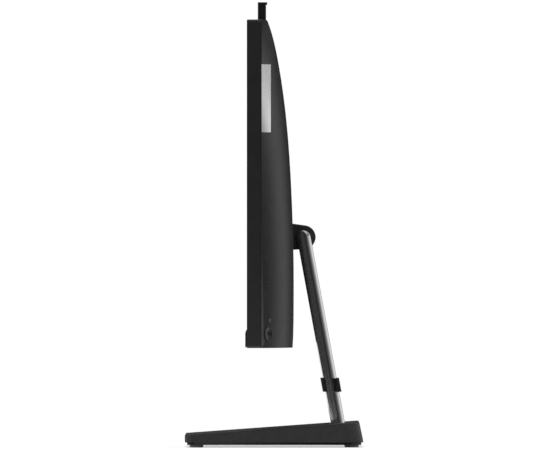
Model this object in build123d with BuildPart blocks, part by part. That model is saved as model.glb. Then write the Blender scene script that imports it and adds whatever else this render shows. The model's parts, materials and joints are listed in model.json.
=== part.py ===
from build123d import *
import math
import os

# All in one PC on a leaning arm and a wedge base, in millimetres. +Z is up, the screen
# looks towards -Y, +X is the user's right. The origin is on the table, under the middle.

os.makedirs("parts", exist_ok=True)

# ---------------------------------------------------------------- driving dimensions
display_width = 541.0
display_height = 330.2
display_base = 101.5  # height of the display's lower edge above the table
front_y = -27.5  # front face of the frame
seam_y = -13.8  # where the frame meets the rear cover
frame_wall = 2.0
frame_corner = 3.0
frame_edge = 0.8
cover_wall = 2.2
cover_rim = 1.0  # straight rim beside the seam, before the crease
slope_run = 100.0  # how far the rounded slope reaches in from each side
# depth of the rear cover behind the seam, by share of the display's height
cover_depths = [
    (0.0, 32.4),
    (0.05, 33.15),
    (0.13, 33.5),
    (0.25, 33.45),
    (0.40, 32.2),
    (0.60, 28.8),
    (0.76, 23.6),
    (0.88, 17.4),
    (0.95, 12.3),
    (1.0, 6.75),
]

screen_gap = 0.3  # between the screen and the frame round it
screen_lift = 16.5  # above the display's lower edge
panel_thickness = 2.0
panel_front = front_y + 0.3
tray_depth = 5.0
tray_sheet = 0.8
tray_base = 1.0
ledge_thickness = 2.0
ledge_width = 6.0
ledge_bottom_width = 7.6
chin_thickness = 2.0
web_thickness = 1.2

bar_lift = 0.5  # above the display's lower edge
bar_height = 15.2
bar_proud = 1.65
bar_step = 0.4
bar_inset = 1.0
bar_chamfer = 0.7
speaker_inset = 70.5  # middle of a speaker from the display's side
slot_count = 24
slot_pitch = 3.6
slot_width = 1.4
slot_height = 8.0

chassis_thickness = 1.0
rim_gap = 0.4  # between the chassis plate's rim and the seam
board_thickness = 1.6
board_lift = 5.2  # mainboard above the chassis plate
pocket_inset = 18.5  # depth of the side pocket in from the display's left side

camera_width = 56.0
camera_front = -16.7
camera_back = -8.3
camera_rise = 19.8  # its top above the display when drawn up
camera_length = 52.0
camera_travel = 17.5
camera_gap = 0.3
lip_height = 2.1
lip_reach = 1.2

axis_y = 30.0
axis_z = 212.8
barrel_radius = 12.1
neck_top = 227.0
neck_bottom = 199.7
hood_gap = 0.3  # between the hood and each ear
hood_wall = 2.0
shaft_radius = 4.0
shaft_clearance = 0.05
shaft_cover = 3.0  # metal left over each end of the shaft
cheek_radius = 9.0
cheek_inner = 7.5
cheek_thickness = 3.5

arm_lean = 10.44  # degrees from vertical, downwards and backwards
arm_width = 60.0
arm_thickness = 14.0
arm_rear_round = 6.6
arm_front_round = 1.0
ear_gap = 36.0
ear_depth = 13.5

base_width = 230.0
base_front = -90.6
base_rear = 90.6
base_top_rear = 86.2
base_front_height = 12.7
base_rear_height = 25.5
base_wall = 2.5
base_front_corner = 10.0
base_rear_corner = 20.0
base_edge = 1.2
foot_height = 2.5
plate_thickness = 2.5
plate_inset = 2.3
weight_thickness = 4.0

clip_bottom = 55.8
clip_height = 13.8
clip_wall = 2.1
clip_gap = 0.3
clip_front_lip = 2.4
clip_rear_lip = 3.3
clip_channel = 12.0

button_y = -5.8
button_lift = 14.4  # above the display's lower edge
button_ring_radius = 7.55
button_cap_radius = 6.0
button_gap = 0.3
button_travel = 0.8
led_y = -4.45
led_lift = 27.8
led_radius = 1.9

badge_front = -12.8
badge_back = -3.4
badge_drop = 45.0  # its upper edge below the top of the display
badge_height = 68.3
badge_thickness = 0.45

fit_gap = 0.3  # between a moving piece and what stands beside it

# ---------------------------------------------------------------- derived places
half_width = display_width / 2
speaker_x = half_width - speaker_inset
display_top = display_base + display_height
display_mid = (display_base + display_top) / 2
camera_top = display_top + camera_rise
badge_top = display_top - badge_drop
badge_bottom = badge_top - badge_height
button_z = display_base + button_lift
led_z = display_base + led_lift
bar_bottom = display_base + bar_lift
screen_bottom = display_base + screen_lift
inner_width = display_width - 2 * frame_wall
tray_back = panel_front + panel_thickness + tray_depth
ledge_back = tray_back + ledge_thickness
chassis_back = ledge_back + chassis_thickness
chassis_rim = seam_y - rim_gap - chassis_back
board_front = chassis_back + board_lift
board_back = board_front + board_thickness
side_board_thickness = 1.4
side_board_back = board_front
side_board_front = side_board_back - side_board_thickness
lean = math.radians(arm_lean)
hood_width = ear_gap - 2 * hood_gap
arm_down = Vector(0, math.sin(lean), -math.cos(lean))


# ---------------------------------------------------------------- small helpers
def at_depth(y):
    """Upright plane at depth y that looks towards the viewer."""
    return Plane.XZ.offset(-y)


def panel(width, height, front, back, at=(0.0, 0.0), corner=0.0, mode=Mode.ADD):
    """Upright plate between two depths, centred on (x, z)."""
    with BuildSketch(at_depth(back)) as outline:
        with Locations(at):
            if corner > 0:
                RectangleRounded(width, height, corner)
            else:
                Rectangle(width, height)
    return extrude(outline.sketch, amount=back - front, mode=mode)


def post(radius, front, back, places, mode=Mode.ADD):
    """Round posts or holes along Y between two depths, at a list of (x, z)."""
    with BuildSketch(at_depth(back)) as outline:
        with Locations(*places):
            Circle(radius)
    return extrude(outline.sketch, amount=back - front, mode=mode)


def slab(width, depth, low, high, at=(0.0, 0.0), corner=0.0, mode=Mode.ADD):
    """Level plate between two heights, centred on (x, y)."""
    with BuildSketch(Plane.XY.offset(low)) as outline:
        with Locations(at):
            if corner > 0:
                RectangleRounded(width, depth, corner)
            else:
                Rectangle(width, depth)
    return extrude(outline.sketch, amount=high - low, mode=mode)


def keep(piece, name):
    """Label a finished piece and write it as one STEP file."""
    piece.part.label = name
    export_step(piece.part, f"parts/{name}.step")


# ---------------------------------------------------------------- rear cover's form
def depth_at(z):
    """Depth of the rear cover behind the seam at a height, between the stations."""
    share = min(max((z - display_base) / display_height, 0.0), 1.0)
    for (low, low_depth), (high, high_depth) in zip(cover_depths, cover_depths[1:]):
        if share <= high:
            part_way = (share - low) / (high - low)
            return low_depth + (high_depth - low_depth) * part_way
    return cover_depths[-1][1]


def slope_point(depth, z):
    """X of the right-hand slope where it stands this far behind the seam."""
    full = depth_at(z)
    remaining = math.sqrt((full - depth) / (full - cover_rim))
    return half_width - slope_run * (1 - remaining)


def cover_form(inset, straight=False):
    """Loft of level sections: a rim at the seam, a parabola up each side, a flat middle.

    The hollow inside runs straight from section to section, the outside is smooth.
    """
    with BuildPart() as form:
        for share, full_depth in cover_depths:
            height = display_base + share * display_height
            height = min(max(height, display_base + inset), display_top - inset)
            depth = min(full_depth, depth_at(height)) - inset
            edge = half_width - inset
            rim = seam_y + cover_rim
            crown = seam_y + depth
            inward = edge - slope_run
            with BuildSketch(Plane.XY.offset(height)):
                with BuildLine():
                    Polyline((-edge, rim), (-edge, seam_y), (edge, seam_y), (edge, rim))
                    Bezier((edge, rim), (edge - slope_run / 2, crown), (inward, crown))
                    Line((inward, crown), (-inward, crown))
                    Bezier((-inward, crown), (slope_run / 2 - edge, crown), (-edge, rim))
                make_face()
        loft(ruled=straight)
    return form.part


cover_outer = cover_form(0.0)
cover_inner = cover_form(cover_wall, straight=True)

# ---------------------------------------------------------------- front frame
slot_span = [(speaker_x, bar_bottom + bar_height / 2), (-speaker_x, bar_bottom + bar_height / 2)]


def speaker_slots(front, back):
    """Two rows of upright slots, one in front of each speaker."""
    with BuildSketch(at_depth(back)) as slots:
        with Locations(*slot_span):
            with GridLocations(slot_pitch, 1, slot_count, 1):
                Rectangle(slot_width, slot_height)
    extrude(slots.sketch, amount=back - front, mode=Mode.SUBTRACT)


camera_slot = (camera_width + 2 * camera_gap, camera_back - camera_front + 2 * camera_gap)
camera_mid = (0, (camera_back + camera_front) / 2)
inner_top = display_top - frame_wall
ledge_base = screen_bottom - 0.4 - web_thickness
middle = (0, display_mid)

with BuildPart() as front_frame:
    panel(display_width, display_height, front_y, seam_y, middle, frame_corner)
    fillet(front_frame.faces().sort_by(Axis.Y)[0].outer_wire().edges(), frame_edge)
    panel(
        inner_width,
        display_height - 2 * frame_wall,
        front_y,
        seam_y,
        middle,
        frame_corner - frame_wall,
        Mode.SUBTRACT,
    )
    ledge_mid = (0, (ledge_base + inner_top) / 2)
    panel(inner_width, inner_top - ledge_base, tray_back, ledge_back, ledge_mid)
    opening_low = ledge_base + ledge_bottom_width
    opening_high = inner_top - ledge_width
    panel(
        inner_width - 2 * ledge_width,
        opening_high - opening_low,
        tray_back,
        ledge_back,
        (0, (opening_low + opening_high) / 2),
        3.0,
        Mode.SUBTRACT,
    )
    panel(inner_width, web_thickness, front_y, ledge_back, (0, ledge_base + web_thickness / 2))
    chin_low = display_base + frame_wall
    panel(
        inner_width,
        ledge_base - chin_low,
        front_y,
        front_y + chin_thickness,
        (0, (ledge_base + chin_low) / 2),
    )
    speaker_slots(front_y - 1, front_y + chin_thickness + 1)
    slab(*camera_slot, opening_high, display_top + 1, camera_mid, 0, Mode.SUBTRACT)
keep(front_frame, "front_frame")

# ---------------------------------------------------------------- chin and speakers
bar_mid = (0, bar_bottom + bar_height / 2)
bar_width = inner_width
with BuildPart() as speaker_bar:
    panel(bar_width, bar_height, front_y - bar_proud, front_y - bar_step, bar_mid, 1.5)
    chamfer(speaker_bar.faces().sort_by(Axis.Y)[0].outer_wire().edges(), bar_chamfer)
    panel(
        bar_width - 2 * bar_inset,
        bar_height - 2 * bar_inset,
        front_y - bar_step,
        front_y,
        bar_mid,
        1.0,
    )
    speaker_slots(front_y - bar_proud - 1, front_y + 1)
keep(speaker_bar, "speaker_bar")

speaker_low = chin_low + 0.5
speaker_high = ledge_base - 0.4
for side, name in ((1, "speaker_right"), (-1, "speaker_left")):
    speaker_mid = (side * speaker_x, (speaker_low + speaker_high) / 2)
    with BuildPart() as speaker:
        height = speaker_high - speaker_low
        panel(112, height, front_y + chin_thickness, front_y + 12.0, speaker_mid, 2.5)
        with BuildSketch(at_depth(front_y + chin_thickness + 1.2)):
            with Locations(speaker_mid):
                SlotOverall(94, height - 2.4)
        extrude(amount=1.2, mode=Mode.SUBTRACT)
        with BuildSketch(at_depth(front_y + chin_thickness + 1.2)):
            with Locations((speaker_mid[0] - 20, speaker_mid[1]), (speaker_mid[0] + 20, speaker_mid[1])):
                Circle(2.2)
        extrude(amount=0.8)
    keep(speaker, name)

# ---------------------------------------------------------------- screen
screen_width = inner_width - 2 * screen_gap
screen_top = inner_top - screen_gap
screen_height = screen_top - screen_bottom
screen_mid = (0, (screen_top + screen_bottom) / 2)
tray_front = panel_front + panel_thickness
with BuildPart() as lcd_panel:
    panel(screen_width, screen_height, panel_front, tray_front, screen_mid, 0.8)
keep(lcd_panel, "lcd_panel")

with BuildPart() as panel_tray:
    panel(screen_width, screen_height, tray_front, tray_back, screen_mid, 1.0)
    panel(
        screen_width - 2 * tray_sheet,
        screen_height - 2 * tray_sheet,
        tray_front,
        tray_back - tray_base,
        screen_mid,
        0.6,
        Mode.SUBTRACT,
    )
keep(panel_tray, "panel_tray")

strip_low = screen_bottom + tray_sheet + 0.2
strip_height = 3.2
guide_low = strip_low + strip_height + 0.3
guide_high = screen_top - tray_sheet - 0.2
guide_width = screen_width - 2 * tray_sheet - 0.4
with BuildPart() as light_guide:
    guide_mid = (0, (guide_low + guide_high) / 2)
    panel(guide_width, guide_high - guide_low, tray_front, tray_back - tray_base, guide_mid)
keep(light_guide, "light_guide")

led_count = 36
with BuildPart() as led_strip:
    strip_mid = (0, strip_low + 0.4)
    panel(guide_width - 4, 0.8, tray_front + 0.3, tray_back - tray_base, strip_mid)
    with BuildSketch(Plane.XY.offset(strip_low + 0.8)):
        with Locations((0, (tray_front + tray_back - tray_base) / 2)):
            with GridLocations(guide_width / led_count, 1, led_count, 1):
                Rectangle(7.0, 2.4)
    extrude(amount=strip_height - 0.8)
keep(led_strip, "led_strip")

# ---------------------------------------------------------------- chassis plate
chassis_width = inner_width - 9.0
chassis_low = ledge_base + 2.1
chassis_high = inner_top - 3.7
chassis_mid = (0, (chassis_low + chassis_high) / 2)
sleeve_wall = 1.2
sleeve_low = camera_top - camera_length - camera_travel - 2.5
sleeve_high = display_top - 9.7
notch_width = camera_slot[0] + 2 * sleeve_wall + 1.0
mainboard_x = (-228.0, -30.0)
mainboard_z = (display_base + 31.0, display_base + 198.5)
board_posts = [(-221.0, 139.0), (-221.0, 293.0), (-37.0, 293.0), (-37.0, 157.0)]
side_posts = [(pocket_inset + 12.5 - half_width, display_base + z) for z in (29.0, 94.0)]
hinge_holes = [(x, z) for x in (-40.0, 40.0) for z in (172.0, 243.0)]
standoff_radius = 3.0
screw_hole = 1.3

with BuildPart() as chassis_plate:
    chassis_size = (chassis_width, chassis_high - chassis_low)
    panel(*chassis_size, ledge_back, chassis_back + chassis_rim, chassis_mid, 4.0)
    panel(
        chassis_size[0] - 2 * chassis_thickness,
        chassis_size[1] - 2 * chassis_thickness,
        chassis_back,
        chassis_back + chassis_rim,
        chassis_mid,
        3.0,
        Mode.SUBTRACT,
    )
    notch_low = sleeve_low - 1.5
    panel(
        notch_width,
        chassis_high - notch_low + 2,
        ledge_back,
        chassis_back + chassis_rim,
        (0, (chassis_high + notch_low) / 2 + 1),
        0,
        Mode.SUBTRACT,
    )
    panel(
        20.0,
        40.0,
        chassis_back,
        chassis_back + chassis_rim,
        (chassis_width / 2 - 4.0, button_z),
        0,
        Mode.SUBTRACT,
    )
    windows = [(x, display_top - 86.7) for x in (-205.0, -125.0, 125.0, 205.0)]
    with BuildSketch(at_depth(chassis_back)):
        with Locations(*windows):
            RectangleRounded(56, 60, 8)
    extrude(amount=chassis_thickness, mode=Mode.SUBTRACT)
    post(standoff_radius, chassis_back, board_front, board_posts)
    post(standoff_radius, chassis_back, side_board_front, side_posts)
    post(screw_hole, ledge_back, board_front, board_posts + side_posts, Mode.SUBTRACT)
    post(2.1, ledge_back, chassis_back, hinge_holes, Mode.SUBTRACT)
keep(chassis_plate, "chassis_plate")

# ---------------------------------------------------------------- rear cover
recess_x = (-165.0, -33.0)
recess_front = seam_y + 2.6
recess_top = display_base + 28.5
pocket_x = pocket_inset - half_width
pocket_front = seam_y + 1.6
pocket_z = (display_base + 24.5, display_base + 96.5)
pocket_wall = 1.6
far = 60.0


def box_between(low, high, mode=Mode.ADD):
    """Plain block between two corners."""
    size = [b - a for a, b in zip(low, high)]
    with Locations(Vector(*low)):
        return Box(*size, align=(Align.MIN, Align.MIN, Align.MIN), mode=mode)


def cut_recesses(grow):
    """The connector recess at the lower rear and the port pocket in the left slope."""
    box_between(
        (recess_x[0] - grow, recess_front - grow, display_base - far),
        (recess_x[1] + grow, far, recess_top + grow),
        Mode.SUBTRACT,
    )
    box_between(
        (-half_width - far, pocket_front - grow, pocket_z[0] - grow),
        (pocket_x + grow, far, pocket_z[1] + grow),
        Mode.SUBTRACT,
    )


button_depth = button_y - seam_y
button_x = slope_point(button_depth, button_z)
button_full = depth_at(button_z)
button_left = math.sqrt((button_full - button_depth) / (button_full - cover_rim))
slope_rise = 2 * (button_full - cover_rim) * button_left / slope_run
button_normal = Vector(slope_rise, 1, 0).normalized()
button_plane = Plane(
    origin=(button_x, button_y, button_z), x_dir=(0, 0, 1), z_dir=tuple(button_normal)
)
led_x = slope_point(led_y - seam_y, led_z)
led_plane = Plane(origin=(led_x, led_y, led_z), x_dir=(0, 0, 1), z_dir=tuple(button_normal))
switch_depth = 6.0

# rear ports: x of the middle, width along X, depth along Y, length up into the case
rear_ports = {
    "network": (-152.0, 15.6, 13.4, 21.0),
    "video": (-128.5, 15.0, 6.0, 12.0),
    "usb_1": (-109.0, 13.4, 6.0, 15.0),
    "usb_2": (-90.5, 13.4, 6.0, 15.0),
    "usb_3": (-72.0, 13.4, 6.0, 15.0),
    "power": (-51.0, 14.0, 8.0, 16.0),
}
# side ports: height of the middle, size along Z, size along Y
side_ports = [
    (pocket_z[0] + 22.0, 9.2, 3.6),
    (pocket_z[0] + 40.0, 13.2, 5.8),
    (pocket_z[0] + 58.0, 13.2, 5.8),
]
jack_z = pocket_z[0] + 8.0
jack_radius = 3.1
jack_y = side_board_back + jack_radius
port_gap = 0.2
vent_pitch = 9.0
vent_width = 4.2
vent_height = 13.0
top_vents = [(x, display_top - 39.7) for x in (-125.0, 125.0)]
top_vent_count = 16
intake_rows = 3
intake_pitch = 18.0
intake_count = 9
blower_mid = (85.0, 186.0)

with BuildPart() as cover_hollow:
    add(cover_inner)
    cut_recesses(pocket_wall)

with BuildPart() as rear_cover:
    add(cover_outer)
    panel(
        display_width,
        display_height,
        seam_y,
        far,
        middle,
        frame_corner,
        Mode.INTERSECT,
    )
    cut_recesses(0.0)
    add(cover_hollow.part, mode=Mode.SUBTRACT)
    slab(*camera_slot, sleeve_high, display_top + 1, camera_mid, 0, Mode.SUBTRACT)
    neck_mid = (0, (neck_top + neck_bottom) / 2)
    panel(2 * (cheek_inner + cheek_thickness + 2), 23, 0, far, neck_mid, 3, Mode.SUBTRACT)
    with BuildSketch(at_depth(far)):
        with Locations(*top_vents):
            with GridLocations(vent_pitch, 1, top_vent_count, 1):
                Rectangle(vent_width, vent_height)
        with Locations(blower_mid):
            with GridLocations(vent_pitch, intake_pitch, intake_count, intake_rows):
                Rectangle(vent_width, vent_height)
    extrude(amount=far, mode=Mode.SUBTRACT)
    for x, width, depth, length in rear_ports.values():
        box_between(
            (x - width / 2 - port_gap, board_back - port_gap, recess_top - 1),
            (
                x + width / 2 + port_gap,
                board_back + depth + port_gap,
                recess_top + pocket_wall + 1,
            ),
            Mode.SUBTRACT,
        )
    for z, width, depth in side_ports:
        box_between(
            (pocket_x - 1, side_board_back - port_gap, z - width / 2 - port_gap),
            (
                pocket_x + pocket_wall + 1,
                side_board_back + depth + port_gap,
                z + width / 2 + port_gap,
            ),
            Mode.SUBTRACT,
        )
    with BuildSketch(Plane.YZ.offset(pocket_x - 1)):
        with Locations((jack_y, jack_z)):
            Circle(jack_radius + port_gap)
    extrude(amount=pocket_wall + 2, mode=Mode.SUBTRACT)
    with BuildSketch(button_plane.offset(-8)):
        Circle(button_ring_radius + 0.1)
    extrude(amount=16, mode=Mode.SUBTRACT)
    with BuildSketch(led_plane.offset(-8)):
        Circle(led_radius + 0.1)
    extrude(amount=16, mode=Mode.SUBTRACT)
keep(rear_cover, "rear_cover")

# ---------------------------------------------------------------- mainboard
board_size = (mainboard_x[1] - mainboard_x[0], mainboard_z[1] - mainboard_z[0])
board_mid = (sum(mainboard_x) / 2, sum(mainboard_z) / 2)
processor_at = (-95.0, 245.0)
processor_lid = 1.8
memory_at = [(-180.0, 262.0), (-180.0, 222.0)]
memory_size = (67.6, 30.0)
memory_lift = 3.0
drive_at = (-95.0, 190.0)
drive_size = (80.0, 22.0)
wireless_at = (-200.0, 180.0)
wireless_size = (22.0, 30.0)
card_lift = 2.4
card_thickness = 0.8
socket_depth = 5.2
chips = [(-125.0, 280.0, 17.0, 13.0), (-60.0, 285.0, 13.0, 13.0), (-60.0, 222.0, 9.0, 9.0)]
coils = [(-140.0, z) for z in (228.0, 238.0, 248.0, 258.0)]
capacitors = [(x, 160.0) for x in (-140.0, -128.0, -52.0)]

with BuildPart() as mainboard:
    panel(*board_size, board_front, board_back, board_mid, 3.0)
    post(screw_hole + 0.3, board_front, board_back, board_posts, Mode.SUBTRACT)
    for x, z, width, height in chips:
        panel(width, height, board_back, board_back + 1.2, (x, z))
    panel(37.5, 37.5, board_back, board_back + processor_lid, processor_at, 1.0)
    for x, z in memory_at:
        socket_at = (x, z - memory_size[1] / 2 - 2.5)
        panel(memory_size[0] + 6, 5.0, board_back, board_back + socket_depth, socket_at)
    socket_at = (drive_at[0] - drive_size[0] / 2 - 2.5, drive_at[1])
    panel(5.0, drive_size[1], board_back, board_back + socket_depth - 1, socket_at)
    socket_at = (wireless_at[0], wireless_at[1] - wireless_size[1] / 2 - 2.5)
    panel(wireless_size[0], 5.0, board_back, board_back + socket_depth - 1, socket_at)
    post(2.6, board_back, board_back + card_lift, [(drive_at[0] + 37.0, drive_at[1])])
    post(2.6, board_back, board_back + card_lift, [(wireless_at[0], wireless_at[1] + 12.0)])
    with BuildSketch(at_depth(board_back + 3.6)):
        with Locations(*coils):
            Rectangle(7.4, 7.4)
    extrude(amount=3.6)
    post(3.1, board_back, board_back + 7.0, capacitors)
keep(mainboard, "mainboard")


def finger_card(size, at, front):
    """Small plug-in board with a bite out of one edge for its key."""
    panel(*size, front, front + card_thickness, at)
    low = at[1] - size[1] / 2
    panel(2.0, 4.0, front, front + card_thickness, (at[0] + size[0] / 5, low), 0, Mode.SUBTRACT)


memory_front = board_back + memory_lift
with BuildPart() as memory_modules:
    for at in memory_at:
        finger_card(memory_size, at, memory_front)
        with BuildSketch(at_depth(memory_front + card_thickness + 1.1)):
            with Locations((at[0], at[1] + 2.0)):
                with GridLocations(15.0, 1, 4, 1):
                    Rectangle(10.0, 12.0)
        extrude(amount=1.1)
keep(memory_modules, "memory_modules")

card_front = board_back + card_lift
with BuildPart() as solid_state_drive:
    panel(*drive_size, card_front, card_front + card_thickness, drive_at)
    chip_back = card_front + card_thickness + 1.2
    for shift, width in ((-26.0, 12.0), (-6.0, 16.0), (18.0, 16.0)):
        at = (drive_at[0] + shift, drive_at[1])
        panel(width, 14.0, card_front + card_thickness, chip_back, at)
keep(solid_state_drive, "solid_state_drive")

with BuildPart() as wireless_card:
    finger_card(wireless_size, wireless_at, card_front)
    can_back = card_front + card_thickness + 1.4
    can_at = (wireless_at[0], wireless_at[1] + 2.0)
    panel(17.0, 17.0, card_front + card_thickness, can_back, can_at, 0.8)
    snap_places = [(wireless_at[0] + x, wireless_at[1] + 12.5) for x in (-6.0, 6.0)]
    post(1.0, card_front + card_thickness, can_back, snap_places)
keep(wireless_card, "wireless_card")

with BuildPart() as board_screws:
    post(2.7, board_back, board_back + 1.6, board_posts)
    post(screw_hole - 0.02, board_front - 4.0, board_back, board_posts)
    with BuildSketch(at_depth(board_back + 1.6)):
        with Locations(*board_posts):
            Rectangle(3.6, 0.8)
    extrude(amount=0.8, mode=Mode.SUBTRACT)
keep(board_screws, "board_screws")

# ---------------------------------------------------------------- connectors
shell_wall = 0.4


def socket(low, high, opening, tongue):
    """Metal connector shell, open on one side, with a plastic tongue inside."""
    box_between(low, high)
    inner_low = [a + shell_wall for a in low]
    inner_high = [b - shell_wall for b in high]
    tongue_low = list(inner_low)
    tongue_high = list(inner_high)
    if opening == "down":
        inner_low[2] = low[2]
        tongue_low[2] = low[2] + 1.0
        tongue_high[2] = high[2] - shell_wall / 2
    else:
        inner_low[0] = low[0]
        tongue_low[0] = low[0] + 1.0
        tongue_high[0] = high[0] - shell_wall / 2
    box_between(inner_low, inner_high, Mode.SUBTRACT)
    if tongue > 0:
        tongue_low[1] = inner_low[1] + 0.7
        tongue_high[1] = tongue_low[1] + tongue
        across = 0 if opening == "down" else 2
        tongue_low[across] += 0.6
        tongue_high[across] -= 0.6
        box_between(tongue_low, tongue_high)


with BuildPart() as rear_connectors:
    for name, (x, width, depth, length) in rear_ports.items():
        tongue_size = {"network": 0.0, "power": 0.0, "video": 1.2}.get(name, 1.9)
        socket(
            (x - width / 2, board_back, recess_top),
            (x + width / 2, board_back + depth, recess_top + length),
            "down",
            tongue_size,
        )
    power_x, _, power_depth, power_length = rear_ports["power"]
    with BuildSketch(Plane.XY.offset(recess_top + 1.5)):
        with Locations((power_x, board_back + power_depth / 2)):
            Circle(0.6)
    extrude(amount=power_length - 1.7)
keep(rear_connectors, "rear_connectors")

with BuildPart() as side_connectors:
    for z, width, depth in side_ports:
        socket(
            (pocket_x, side_board_back, z - width / 2),
            (pocket_x + 14.0, side_board_back + depth, z + width / 2),
            "side",
            1.0 if depth < 4 else 1.9,
        )
    with BuildSketch(Plane.YZ.offset(pocket_x)):
        with Locations((jack_y, jack_z)):
            Circle(jack_radius)
            Circle(1.8, mode=Mode.SUBTRACT)
    extrude(amount=13.0)
keep(side_connectors, "side_connectors")

with BuildPart() as side_board:
    board_low = (pocket_x + pocket_wall + 0.4, side_board_front, pocket_z[0] + 0.5)
    board_high = (pocket_x + 20.0, side_board_back, pocket_z[1] + 1.5)
    box_between(board_low, board_high)
    post(screw_hole, side_board_front, side_board_back, side_posts, Mode.SUBTRACT)
    plug_at = (pocket_x + 17.0, pocket_z[0] + 31.0)
    panel(4.0, 16.0, side_board_back, side_board_back + 3.0, plug_at, 0.4)
keep(side_board, "side_board")

# ---------------------------------------------------------------- cooling
cold_thickness = 4.0
cold_front = board_back + processor_lid
with BuildPart() as cold_plate:
    panel(52, 52, cold_front, cold_front + 1.6, processor_at, 3.0)
    panel(30, 40, cold_front + 1.6, cold_front + cold_thickness, processor_at, 1.5)
    for x, z in ((34, 34), (-34, 34), (34, -34), (-34, -34)):
        with BuildSketch(at_depth(cold_front + 1.6)):
            with Locations((processor_at[0] + x * 0.8, processor_at[1] + z * 0.8)):
                Rectangle(20, 6, rotation=45 if x * z > 0 else -45)
        extrude(amount=1.6)
keep(cold_plate, "cold_plate")

fin_low = 238.0
fin_high = 262.0
fin_span = (42.0, 128.0)
fin_pitch = 3.0
fin_sheet = 0.5
fin_front = chassis_back + 8.2
fin_back = fin_front + 16.0
pipe_radius = 3.0
pipe_y = cold_front + cold_thickness + pipe_radius
with BuildPart() as heat_pipe:
    with BuildLine() as route:
        points = [
            (processor_at[0], pipe_y, processor_at[1] - 16.0),
            (processor_at[0], pipe_y, fin_high + 0.8 + pipe_radius),
            (fin_span[1], pipe_y, fin_high + 0.8 + pipe_radius),
        ]
        FilletPolyline(*points, radius=16.0)
    with BuildSketch(Plane(origin=points[0], z_dir=(0, 0, 1))):
        Circle(pipe_radius)
    sweep()
keep(heat_pipe, "heat_pipe")

fin_count = int((fin_span[1] - fin_span[0]) / fin_pitch)
fin_mid = (sum(fin_span) / 2, (fin_low + fin_high) / 2)
with BuildPart() as fin_stack:
    with BuildSketch(at_depth(fin_back)):
        with Locations(fin_mid):
            with GridLocations(fin_pitch, 1, fin_count, 1):
                Rectangle(fin_sheet, fin_high - fin_low)
    extrude(amount=fin_back - fin_front)
    stack_width = (fin_count - 1) * fin_pitch + fin_sheet
    panel(stack_width, 0.8, fin_front, fin_back, (fin_mid[0], fin_high + 0.4))
    panel(stack_width, fin_high - fin_low, fin_front, fin_front + 0.6, fin_mid)
    for foot_x in (fin_span[0] + 16.0, fin_span[1] - 10.0):
        panel(8.0, 6.0, chassis_back, fin_front, (foot_x, fin_low + 6.0))
keep(fin_stack, "fin_stack")

housing_front = chassis_back + 3.2
housing_back = housing_front + 18.0
housing_radius = 42.0
housing_wall = 1.5
rotor_radius = 36.0
outlet_z = 50.0
spindle_radius = 1.5


def scroll_outline(inset):
    """Blower outline: a round scroll with a straight outlet upwards."""
    with BuildSketch(at_depth(housing_back)) as outline:
        with Locations(blower_mid):
            Circle(housing_radius - inset)
            with Locations((0, outlet_z / 2)):
                Rectangle(2 * (housing_radius - inset), outlet_z)
    return outline.sketch


with BuildPart() as blower_housing:
    extrude(scroll_outline(0.0), amount=housing_back - housing_front)
    cavity = scroll_outline(housing_wall).moved(Location((0, -housing_wall, 0)))
    depth = housing_back - housing_front - 2 * housing_wall
    extrude(cavity, amount=depth, mode=Mode.SUBTRACT)
    post(27.0, housing_back - housing_wall, housing_back, [blower_mid], Mode.SUBTRACT)
    boss_back = housing_front + housing_wall + 2.0
    post(8.0, housing_front + housing_wall, boss_back, [blower_mid])
    post(spindle_radius, boss_back, housing_back - 5.5, [blower_mid])
    feet = [(blower_mid[0] + x, blower_mid[1] + z) for x, z in ((-30, -20), (30, -20), (0, 40))]
    post(4.0, chassis_back, housing_front, feet)
keep(blower_housing, "blower_housing")

blade_count = 19
rotor_front = boss_back + fit_gap
rotor_back = housing_back - housing_wall - 1.7
with BuildPart() as blower_rotor:
    post(rotor_radius, rotor_front, rotor_front + 1.0, [blower_mid])
    post(13.0, rotor_front + 1.0, rotor_back, [blower_mid])
    with BuildSketch(at_depth(rotor_back)):
        with Locations(blower_mid):
            with PolarLocations((rotor_radius + 13.0) / 2 + 4, blade_count):
                Rectangle(rotor_radius - 19.0, 0.8, rotation=28)
    extrude(amount=rotor_back - rotor_front - 1.0)
    post(spindle_radius + shaft_clearance, rotor_front, housing_back - 5.2, [blower_mid], Mode.SUBTRACT)
keep(blower_rotor, "blower_rotor")

# ---------------------------------------------------------------- hard drive
disk_size = (69.85, 100.5)
disk_at = (185.0, 200.0)
disk_front = chassis_back + 4.2
disk_thickness = 7.0
bracket_sheet = 1.0
with BuildPart() as hard_drive:
    disk_back = disk_front + disk_thickness
    panel(*disk_size, disk_front, disk_back, disk_at, 2.0)
    with BuildSketch(at_depth(disk_back)):
        with Locations((disk_at[0], disk_at[1] + 16.0)):
            Circle(31.0)
            Circle(12.0, mode=Mode.SUBTRACT)
    extrude(amount=0.5, mode=Mode.SUBTRACT)
    plug_at = (disk_at[0] - 6.0, disk_at[1] - disk_size[1] / 2 + 2.0)
    panel(44.0, 4.0, disk_front + 1.6, disk_back - 1.0, plug_at, 0, Mode.SUBTRACT)
keep(hard_drive, "hard_drive")

with BuildPart() as drive_bracket:
    tray_width = disk_size[0] + 2 * bracket_sheet + 0.4
    base_depth = disk_front - bracket_sheet
    panel(tray_width, 88.0, base_depth, disk_front + 5.0, disk_at)
    panel(tray_width - 2 * bracket_sheet, 90.0, disk_front, disk_front + 6, disk_at, 0, Mode.SUBTRACT)
    panel(44.0, 60.0, base_depth - 1, disk_front + 1, disk_at, 6.0, Mode.SUBTRACT)
    for x in (-1, 1):
        for z in (-36.0, 36.0):
            foot_at = (disk_at[0] + x * (tray_width / 2 - 5.0), disk_at[1] + z)
            panel(8.0, 10.0, chassis_back, base_depth, foot_at, 1.0)
keep(drive_bracket, "drive_bracket")

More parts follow.
